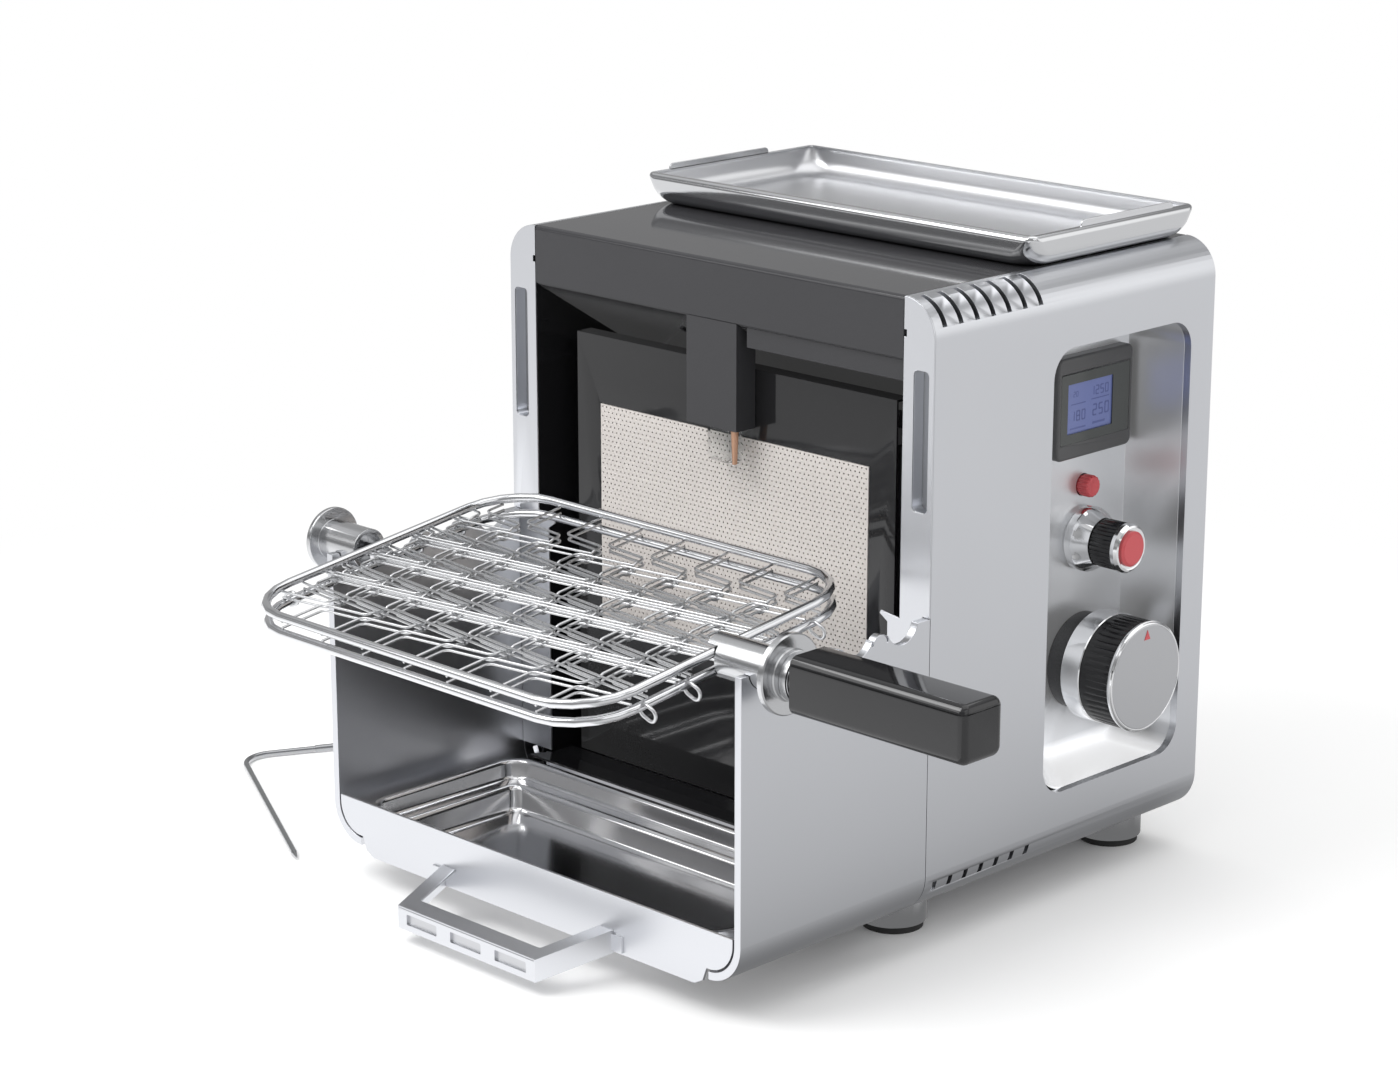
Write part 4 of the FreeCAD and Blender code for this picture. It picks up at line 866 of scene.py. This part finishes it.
def buildTray(t=tray):
    rim, sheet, curve, top = t["rim"], t["sheet"], t["round"], t["shoulder"]
    base, steps, topSteps = t["low"] + curve, t["roundSteps"], t["shoulderSteps"]
    section = arc(curve, base, curve, 270, 180, steps) + arc(top, rim - top, top, 180, 90, topSteps)
    section += [(t["mouth"], rim), (t["mouth"], rim - sheet)]
    section += arc(top, rim - top, top - sheet, 90, 180, topSteps)
    section += arc(curve, base, curve - sheet, 180, 270, steps)
    obj = vessel("servingTray", t["halfX"], t["y0"], t["y1"], t["corners"], section)
    finishPiece(obj, "tray", "polished_steel", ("top_tray",), angle=40, look="tray_steel")
    obj.data.materials.append(materials["tray_outside"])
    middle = spot((0, (t["y0"] + t["y1"]) / 2, rim))
    for face in obj.data.polygons:
        face.material_index = 1 if face.normal.dot(face.center - middle) > t["outwardLean"] else 0
    foot, tip, corner = rim - t["lipFoot"], rim + t["lip"], t["lipCorner"]
    for label, side, y0, y1 in t["lips"]:
        outline = [(y0, foot), (y1, foot)] + [(y1 - along, tip - down) for along, down in corner]
        outline += [(y0 + along, tip - down) for along, down in reversed(corner)]
        inner = side * (t["halfX"] - t["mouth"])
        sides = (inner, inner + side * sheet)
        lip = loft("trayLip" + label, [[(x, y, z) for y, z in outline] for x in sides])
        finishPiece(lip, "tray", "polished_steel", angle=40)
        addBevel(lip, t["lipEdge"])


# Drip pan: the same way, with the section's heights counted from the rim
pan = {
    "halfX": 149.0, "y0": -148.2, "y1": -24.0, "corners": (16, 16), "rim": -340.0, "least": 7.0,
    "section": ((18.5, -29.5), (15.0, -28.8), (13.4, -26.6), (12.6, -16.0), (11.6, -14.0), (9.4, -13.1),
                (3.0, -13.0), (1.2, -12.2), (0.4, -10.4), (0.0, -2.6), (-0.5, -1.6), (-3.0, -1.2), (-3.0, 0),
                (-0.6, 0), (0.6, -0.6), (1.2, -2.2), (1.6, -9.8), (2.4, -11.2), (4.0, -11.9), (10.4, -12.0),
                (12.4, -12.8), (13.6, -15.0), (14.6, -25.6), (16.0, -27.6), (19.0, -28.4)),
}


def buildPan(p=pan):
    section = [(inset, p["rim"] + height) for inset, height in p["section"]]
    obj = vessel("dripPan", p["halfX"], p["y0"], p["y1"], p["corners"], section, p["least"])
    finishPiece(obj, "drawer", "polished_steel", ("drawer_pan",), angle=60, look="pan_steel")


buildTray()
buildPan()
print("tray and pan made")


# Control panel: display, push button and the two knobs stand on the pocket floor, x outward
panel = {"floor": 127.5, "y": 196.5}
display = {
    "z": -98.0, "bezelFace": 135.1, "screenFace": 133.9, "screenY": 191.8, "glassDepth": (0.9, 0.25),
    "glass": (32.7, 21.7, 1.2), "screen": (21.6, 15.5, 0.4),  # half sizes and corner radius
    # place and half size of the numbers, then of the plain lines
    "numbers": ((-14.5, 8.6, 1.5, "20"), (3.0, 8.2, 2.6, "1250"), (-15.5, -5.0, 2.9, "180"),
                (5.5, -4.0, 3.3, "250")),
    "lines": ((-10.5, 2.4, 7.0, 0.35), (10.5, 3.0, 8.5, 0.35), (-10.5, -12.6, 7.5, 0.5),
              (9.5, -12.0, 6.0, 0.7)),
    "strokes": {"0": "abcdef", "1": "bc", "2": "abged", "5": "afgcd", "8": "abcdefg"},
    "strokeThick": 0.16, "digitStep": 1.75, "ink": (-0.02, 0.06),
}


# One digit out of seven bars, each as middle and half sizes; u runs along y and v up
def digitBars(u, v, size, digit, d=display):
    half, thick = size / 2, size * d["strokeThick"]
    bars = {"a": (0, size, half, thick), "g": (0, 0, half, thick), "d": (0, -size, half, thick),
            "b": (half, half, thick, half), "c": (half, -half, thick, half), "f": (-half, half, thick, half),
            "e": (-half, -half, thick, half)}
    return [(u + bars[k][0], v + bars[k][1], *bars[k][2:]) for k in d["strokes"][digit]]


def buildDisplay(d=display):
    z = d["z"]
    deep, shallow = (d["bezelFace"] - depth for depth in d["glassDepth"])
    outer, inner = flatOutline(panel["y"], z, *d["glass"]), flatOutline(d["screenY"], z, *d["screen"])
    rings = [[(x, y, v) for y, v in line]
             for line, x in ((outer, deep), (outer, shallow), (inner, shallow), (inner, deep))]
    finishPiece(loft("panelGlass", rings, closed=True), "housing", "bezel_grey", look="panel_glass")
    bars = []
    for u, v, size, text in d["numbers"]:
        for place, digit in enumerate(text):
            bars += digitBars(u + place * size * d["digitStep"], v, size, digit)
    points, faces = [], []
    under, over = (d["screenFace"] + height for height in d["ink"])
    for u, v, halfU, halfV in (*bars, *d["lines"]):
        y, middle = d["screenY"] + u, z + v
        corners, sides = boxParts((under, y - halfU, middle - halfV), (over, y + halfU, middle + halfV))
        faces += [tuple(len(points) + k for k in side) for side in sides]
        points += corners
    ink = meshObject("screenDigits", points, faces, recalc=False)
    finishPiece(ink, "housing", "screen_blue", smooth=False, look="screen_ink")


# A turned part of the panel: rows of height over the floor, radius and, where it is ribbed, groove depth
def turned(name, rows, z, body, slot, replaced=(), angle=25, look=None, turns=96, pattern=(0,)):
    profile = [(panel["floor"] + height, *rest) for height, *rest in rows]
    obj = latheMesh(name, profile, panel["y"], z, turns, pattern)
    finishPiece(obj, body, slot, replaced, angle=angle, look=look)


button = {
    "z": -150.2, "ribs": (0, 0, 0.5, 1, 1, 0.5),
    "rows": ((-4.8, 5.5), (0.3, 5.5), (0.3, 6.5, 0.4), (1.0, 6.9, 0.7), (7.0, 6.9, 0.7), (7.9, 6.4, 0.5),
             (8.4, 5.6), (8.4, 3.7), (8.0, 3.1), (8.0, 0.4)),
}


def buildButton(b=button):
    turned("ribbedButton", b["rows"], b["z"], "button", "red_plastic", ("red_button",), 35, pattern=b["ribs"])


# Small knob: a bell with soft flats and a red mark, a ribbed ring and a cap
smallKnob = {
    "z": -183.6, "flats": 8, "flatSteps": 16, "ribs": (0, 0, 0, 0.6, 1, 0.6), "ringTurns": 192,
    "bell": ((0, 18.4, 0.25), (1.2, 19.6, 0.25), (2.5, 20.4, 0.25), (7.0, 20.6, 0.25), (8.0, 20.3, 0.25),
             (9.6, 19.6, 1.1), (17.0, 15.4, 0.25), (17.0, 4.5, 0.25)),
    "mark": {"from": 3.4, "to": 6.6, "half": 1.2, "top": 20.75, "under": 18.6},
    "ring": ((17.3, 13.0), (17.3, 14.4, 0.3), (17.9, 15.0, 0.7), (33.0, 15.0, 0.7), (33.5, 14.6, 0.5),
             (33.5, 5)),
    "cap": ((-13.9, 4), (33.55, 4), (33.55, 14.8), (34.1, 15.5), (36.6, 15.5), (38.4, 14.3), (39.0, 13.2),
            (38.8, 12.6), (38.6, 11.4), (38.6, 0.4)),
}


def buildSmallKnob(k=smallKnob):
    floor, y, z, steps, mark = panel["floor"], panel["y"], k["z"], k["flatSteps"], k["mark"]
    soft = [0.5 - 0.5 * math.cos(2 * math.pi * step / steps) for step in range(steps)]
    turned("knobBell", k["bell"], z, "housing", "polished_steel", ("small_knob_bell",), 24, "chrome",
           k["flats"] * steps, soft)
    start, end, half = floor + mark["from"], floor + mark["to"], mark["half"]
    wedge = [(start, y), (end, y - half), (end, y + half)]
    bellMark = loft("bellMark", [[(u, v, z + mark[level]) for u, v in wedge] for level in ("top", "under")])
    finishPiece(bellMark, "housing", "red_plastic", smooth=False)
    turned("knobRing", k["ring"], z, "small_knob", "knob_black", ("small_knob_ring",), 40,
           turns=k["ringTurns"], pattern=k["ribs"])
    turned("knobCap", k["cap"], z, "small_knob", "polished_steel", ("small_knob_cap",), look="chrome")


# Large knob: a base that stays, then a collar, a ribbed grip, a rim and its face that turn
largeKnob = {
    "z": -262.2, "ribs": (0, 0, 0, 0, 0.5, 1, 0.5), "gripTurns": 336, "rimTurns": 128,
    "base": ((0, 30.0), (0.6, 30.5), (11.6, 30.5), (13.0, 29.6), (13.7, 28.0), (13.7, 5)),
    "collar": ((14.0, 5), (14.0, 34.0), (14.6, 34.8), (27.8, 34.8), (28.35, 34.3), (28.35, 5)),
    "grip": ((28.45, 5), (28.45, 33.9), (28.9, 34.3), (33.0, 34.3), (33.8, 34.3, 0.8), (49.6, 34.3, 0.8),
             (50.0, 34.0, 0.6), (50.0, 5)),
    "rim": ((-11.9, 5), (50.05, 5), (50.05, 33.9), (50.4, 34.7), (51.2, 35.0), (51.9, 34.9), (52.2, 34.4),
            (52.9, 34.0), (53.3, 33.3), (53.2, 32.8), (53.0, 32.6), (53.0, 5), (53.0, 0.4)),
    "face": ((52.6, 32.5), (53.1, 32.5), (53.25, 32.2), (53.25, 0.4)),
}


def buildLargeKnob(k=largeKnob):
    z, rimTurns = k["z"], k["rimTurns"]
    turned("knobBase", k["base"], z, "housing", "grip_black", ("large_knob_base",), 35, "speckled_black")
    turned("knobCollar", k["collar"], z, "large_knob", "knob_silver", ("large_knob_collar",), 35, "chrome")
    turned("knobGrip", k["grip"], z, "large_knob", "knob_black", ("large_knob_grip",), 40,
           turns=k["gripTurns"], pattern=k["ribs"])
    turned("knobRim", k["rim"], z, "large_knob", "polished_steel", ("large_knob_cap",), look="chrome",
           turns=rimTurns)
    turned("knobFace", k["face"], z, "large_knob", "polished_steel", look="face_silver", turns=rimTurns)


buildDisplay()
buildButton()
buildSmallKnob()
buildLargeKnob()
print("controls made")


# Drawer handle: the bent bar gets its broad top edge, and a plate stands behind its windows
handle = {"frontHalf": 59.5, "rootHalf": 74.0, "reach": 48.0, "frontZ": -366.6, "rootZ": -358.0,
          "wide": 11.5, "sheet": 2.0, "faceY": -153.4, "low": -380.6, "edge": 0.8,
          "plateInset": (4, 1.2), "plateDepth": (1.6, 2.6), "plateCorner": 1}


def buildHandle(h=handle):
    front, root, wide = h["frontHalf"], h["rootHalf"], h["wide"]
    y0, y1 = h["faceY"] - h["reach"], h["faceY"]
    outer = [(-root, y1), (-front, y0), (front, y0), (root, y1)]
    inside = front + (root - front) * wide / h["reach"] - wide
    inner = [(-root + wide, y1), (-inside, y0 + wide), (inside, y0 + wide), (root - wide, y1)]
    rise = (h["rootZ"] - h["frontZ"]) / h["reach"]
    points = [(x, y, h["frontZ"] + rise * (y - y0) - drop)
              for drop in (0, h["sheet"]) for x, y in outer + inner]
    faces = [(0, 1, 5, 4), (1, 2, 6, 5), (2, 3, 7, 6), (8, 12, 13, 9), (9, 13, 14, 10), (10, 14, 15, 11)]
    rim = [0, 1, 2, 3, 7, 6, 5, 4]
    faces += [(rim[k], rim[k] + 8, rim[(k + 1) % 8] + 8, rim[(k + 1) % 8]) for k in range(8)]
    top = finishPiece(meshObject("handleTop", points, faces), "drawer", "satin_steel", angle=30)
    addBevel(top, h["edge"], 3)
    insetX, insetZ = h["plateInset"]
    middle, halfZ = (h["frontZ"] + h["low"]) / 2, (h["frontZ"] - h["low"]) / 2 - insetZ
    plate = flatOutline(0, middle, front - insetX, halfZ, h["plateCorner"])
    back = loft("handleBacking", [[(x, y0 + depth, z) for x, z in plate] for depth in h["plateDepth"]])
    finishPiece(back, "drawer", "satin_steel", angle=30, look="face_silver")


buildHandle()
print("handle made")


# Sheet and solid parts that keep their CAD shape and get softened edges of this width
edgeWidths = {
    "side_shell_right": 0.5, "side_shell_left": 0.5, "cheek_right": 0.6, "cheek_left": 0.6,
    "column_right": 0.25, "column_left": 0.25, "slot_pockets": 0.2, "top_cover": 0.4, "hood_ceiling": 0.3,
    "drawer_front": 0.4,
    "drawer_handle": 0.4, "control_pocket": 0.3, "burner_frame": 0.3, "drip_apron": 0.3, "igniter_box": 0.5,
    "feet": 0.5, "hub_left": 0.3, "grip": 0.5, "rear_panel": 0.3, "base_plate": 0.3,
    "gas_inlet": 0.3, "display_bezel": 0.5, "probe_socket": 0.2, "gas_valve": 0.6, "spark_module": 0.8,
}
for node, width in edgeWidths.items():
    dressed(node, width)
print("housing dressed")
